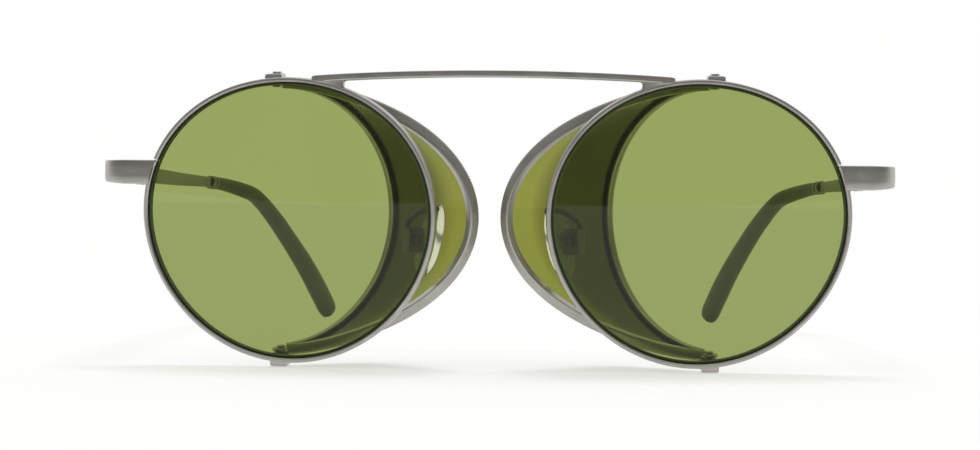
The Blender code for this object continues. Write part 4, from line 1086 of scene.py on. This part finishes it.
def stage_floor():
    """A pale table that holds the shadow and fades to white further out; through glass it is plain."""
    bm = bmesh.new()
    bm.faces.new([bm.verts.new((x, y, TABLE_LEVEL)) for x, y in TABLE_CORNERS])
    data = bpy.data.meshes.new("table")
    bm.to_mesh(data)
    bm.free()
    floor = bpy.data.objects.new("table", data)
    bpy.context.scene.collection.objects.link(floor)
    s = Shading("table_paper")
    s.nodes.remove(s.shader)
    path = s.node("ShaderNodeLightPath").outputs
    seen = s.math("MAXIMUM", path["Is Camera Ray"], path["Is Glossy Ray"])
    away = s.node("ShaderNodeVectorMath", {0: s.place(), 1: FADE_CENTRE}, operation="DISTANCE")
    far = s.ramp(away.outputs["Value"], FADE_START, FADE_END, 0.0, 1.0)
    glow = s.node("ShaderNodeEmission", {"Color": s.blend(far, tuple(TABLE_GLOW * c for c in WHITE), WHITE)})
    fibres = s.noise(1500.0, 3.0)
    near_paper = s.blend(fibres, (0.475, 0.475, 0.468), (0.49, 0.49, 0.483))
    paper = s.node("ShaderNodeBsdfDiffuse", {"Color": s.blend(far, near_paper, (0, 0, 0))})
    shown = s.node("ShaderNodeAddShader", {0: glow.outputs[0], 1: paper.outputs[0]})
    plain = s.node("ShaderNodeBsdfDiffuse", {"Color": (0.8, 0.8, 0.79, 1)})
    direct = s.node("ShaderNodeMixShader", {0: seen, 1: plain.outputs[0], 2: shown.outputs[0]})
    through = s.node("ShaderNodeEmission", {"Color": (*THROUGH_GLASS, 1)})
    mix = s.node("ShaderNodeMixShader", {0: path["Is Transmission Ray"], 1: direct.outputs[0],
                                         2: through.outputs[0]})
    s.links.new(mix.outputs[0], s.output.inputs["Surface"])
    data.materials.append(s.material)


def surroundings():
    """White all round, as seen directly and through glass; reflections find a darker room in front."""
    world = bpy.data.worlds.new("studio")
    bpy.context.scene.world = world
    world.use_nodes = True
    sky = Nodes(world.node_tree)
    sky.nodes.clear()
    direction = sky.node("ShaderNodeSeparateXYZ", {0: sky.node("ShaderNodeTexCoord").outputs["Generated"]})
    behind = sky.ramp(direction.outputs["Y"], *WHITE_BEHIND, 0.0, 1.0, interpolation_type="SMOOTHSTEP")
    above = sky.ramp(direction.outputs["Z"], *WHITE_ABOVE, 0.0, 0.75, interpolation_type="SMOOTHSTEP")
    mirrored_room = sky.blend(sky.math("MAXIMUM", behind, above), ROOM_IN_FRONT, WHITE)
    path = sky.node("ShaderNodeLightPath").outputs
    camera, glossy, through = path["Is Camera Ray"], path["Is Glossy Ray"], path["Is Transmission Ray"]
    colour = sky.blend(sky.math("GREATER_THAN", glossy, through), WHITE, mirrored_room)
    direct = sky.math("MAXIMUM", sky.math("MAXIMUM", camera, through), glossy)
    strength = sky.ramp(direct, 0.0, 1.0, FILL_STRENGTH, 1.0)
    light = sky.node("ShaderNodeBackground", {"Color": colour, "Strength": strength})
    sky.links.new(light.outputs[0], sky.node("ShaderNodeOutputWorld").inputs["Surface"])


def soft_lamp():
    """A soft round lamp overhead that isn't mirrored in the metal."""
    lamp = bpy.data.lights.new("overhead", "AREA")
    lamp.shape = "DISK"
    lamp.size = LAMP_SIZE
    lamp.energy = LAMP_POWER
    obj = bpy.data.objects.new("overhead", lamp)
    obj.location = LAMP_PLACE
    obj.rotation_euler = (math.radians(-8), 0, 0)
    obj.visible_glossy = False
    bpy.context.scene.collection.objects.link(obj)


def place_camera():
    """The photograph's viewpoint: in front, a little to the wearer's left and above the lenses' middle."""
    data = bpy.data.cameras.new("camera")
    data.sensor_width = 36.0
    data.lens = CAMERA_LENS
    data.shift_y = CAMERA_SHIFT
    data.clip_start = 0.01
    camera = bpy.data.objects.new("camera", data)
    turn = (Matrix.Rotation(CAMERA_YAW, 4, "Z") @ Matrix.Rotation(CAMERA_PITCH, 4, "X")
            @ Matrix.Rotation(CAMERA_ROLL, 4, "Y") @ Matrix.Rotation(math.pi / 2, 4, "X"))
    camera.matrix_world = Matrix.Translation(CAMERA_PLACE) @ turn
    bpy.context.scene.collection.objects.link(camera)
    bpy.context.scene.camera = camera


stage_floor()
surroundings()
soft_lamp()
place_camera()
bpy.context.scene.view_settings.view_transform = "Standard"
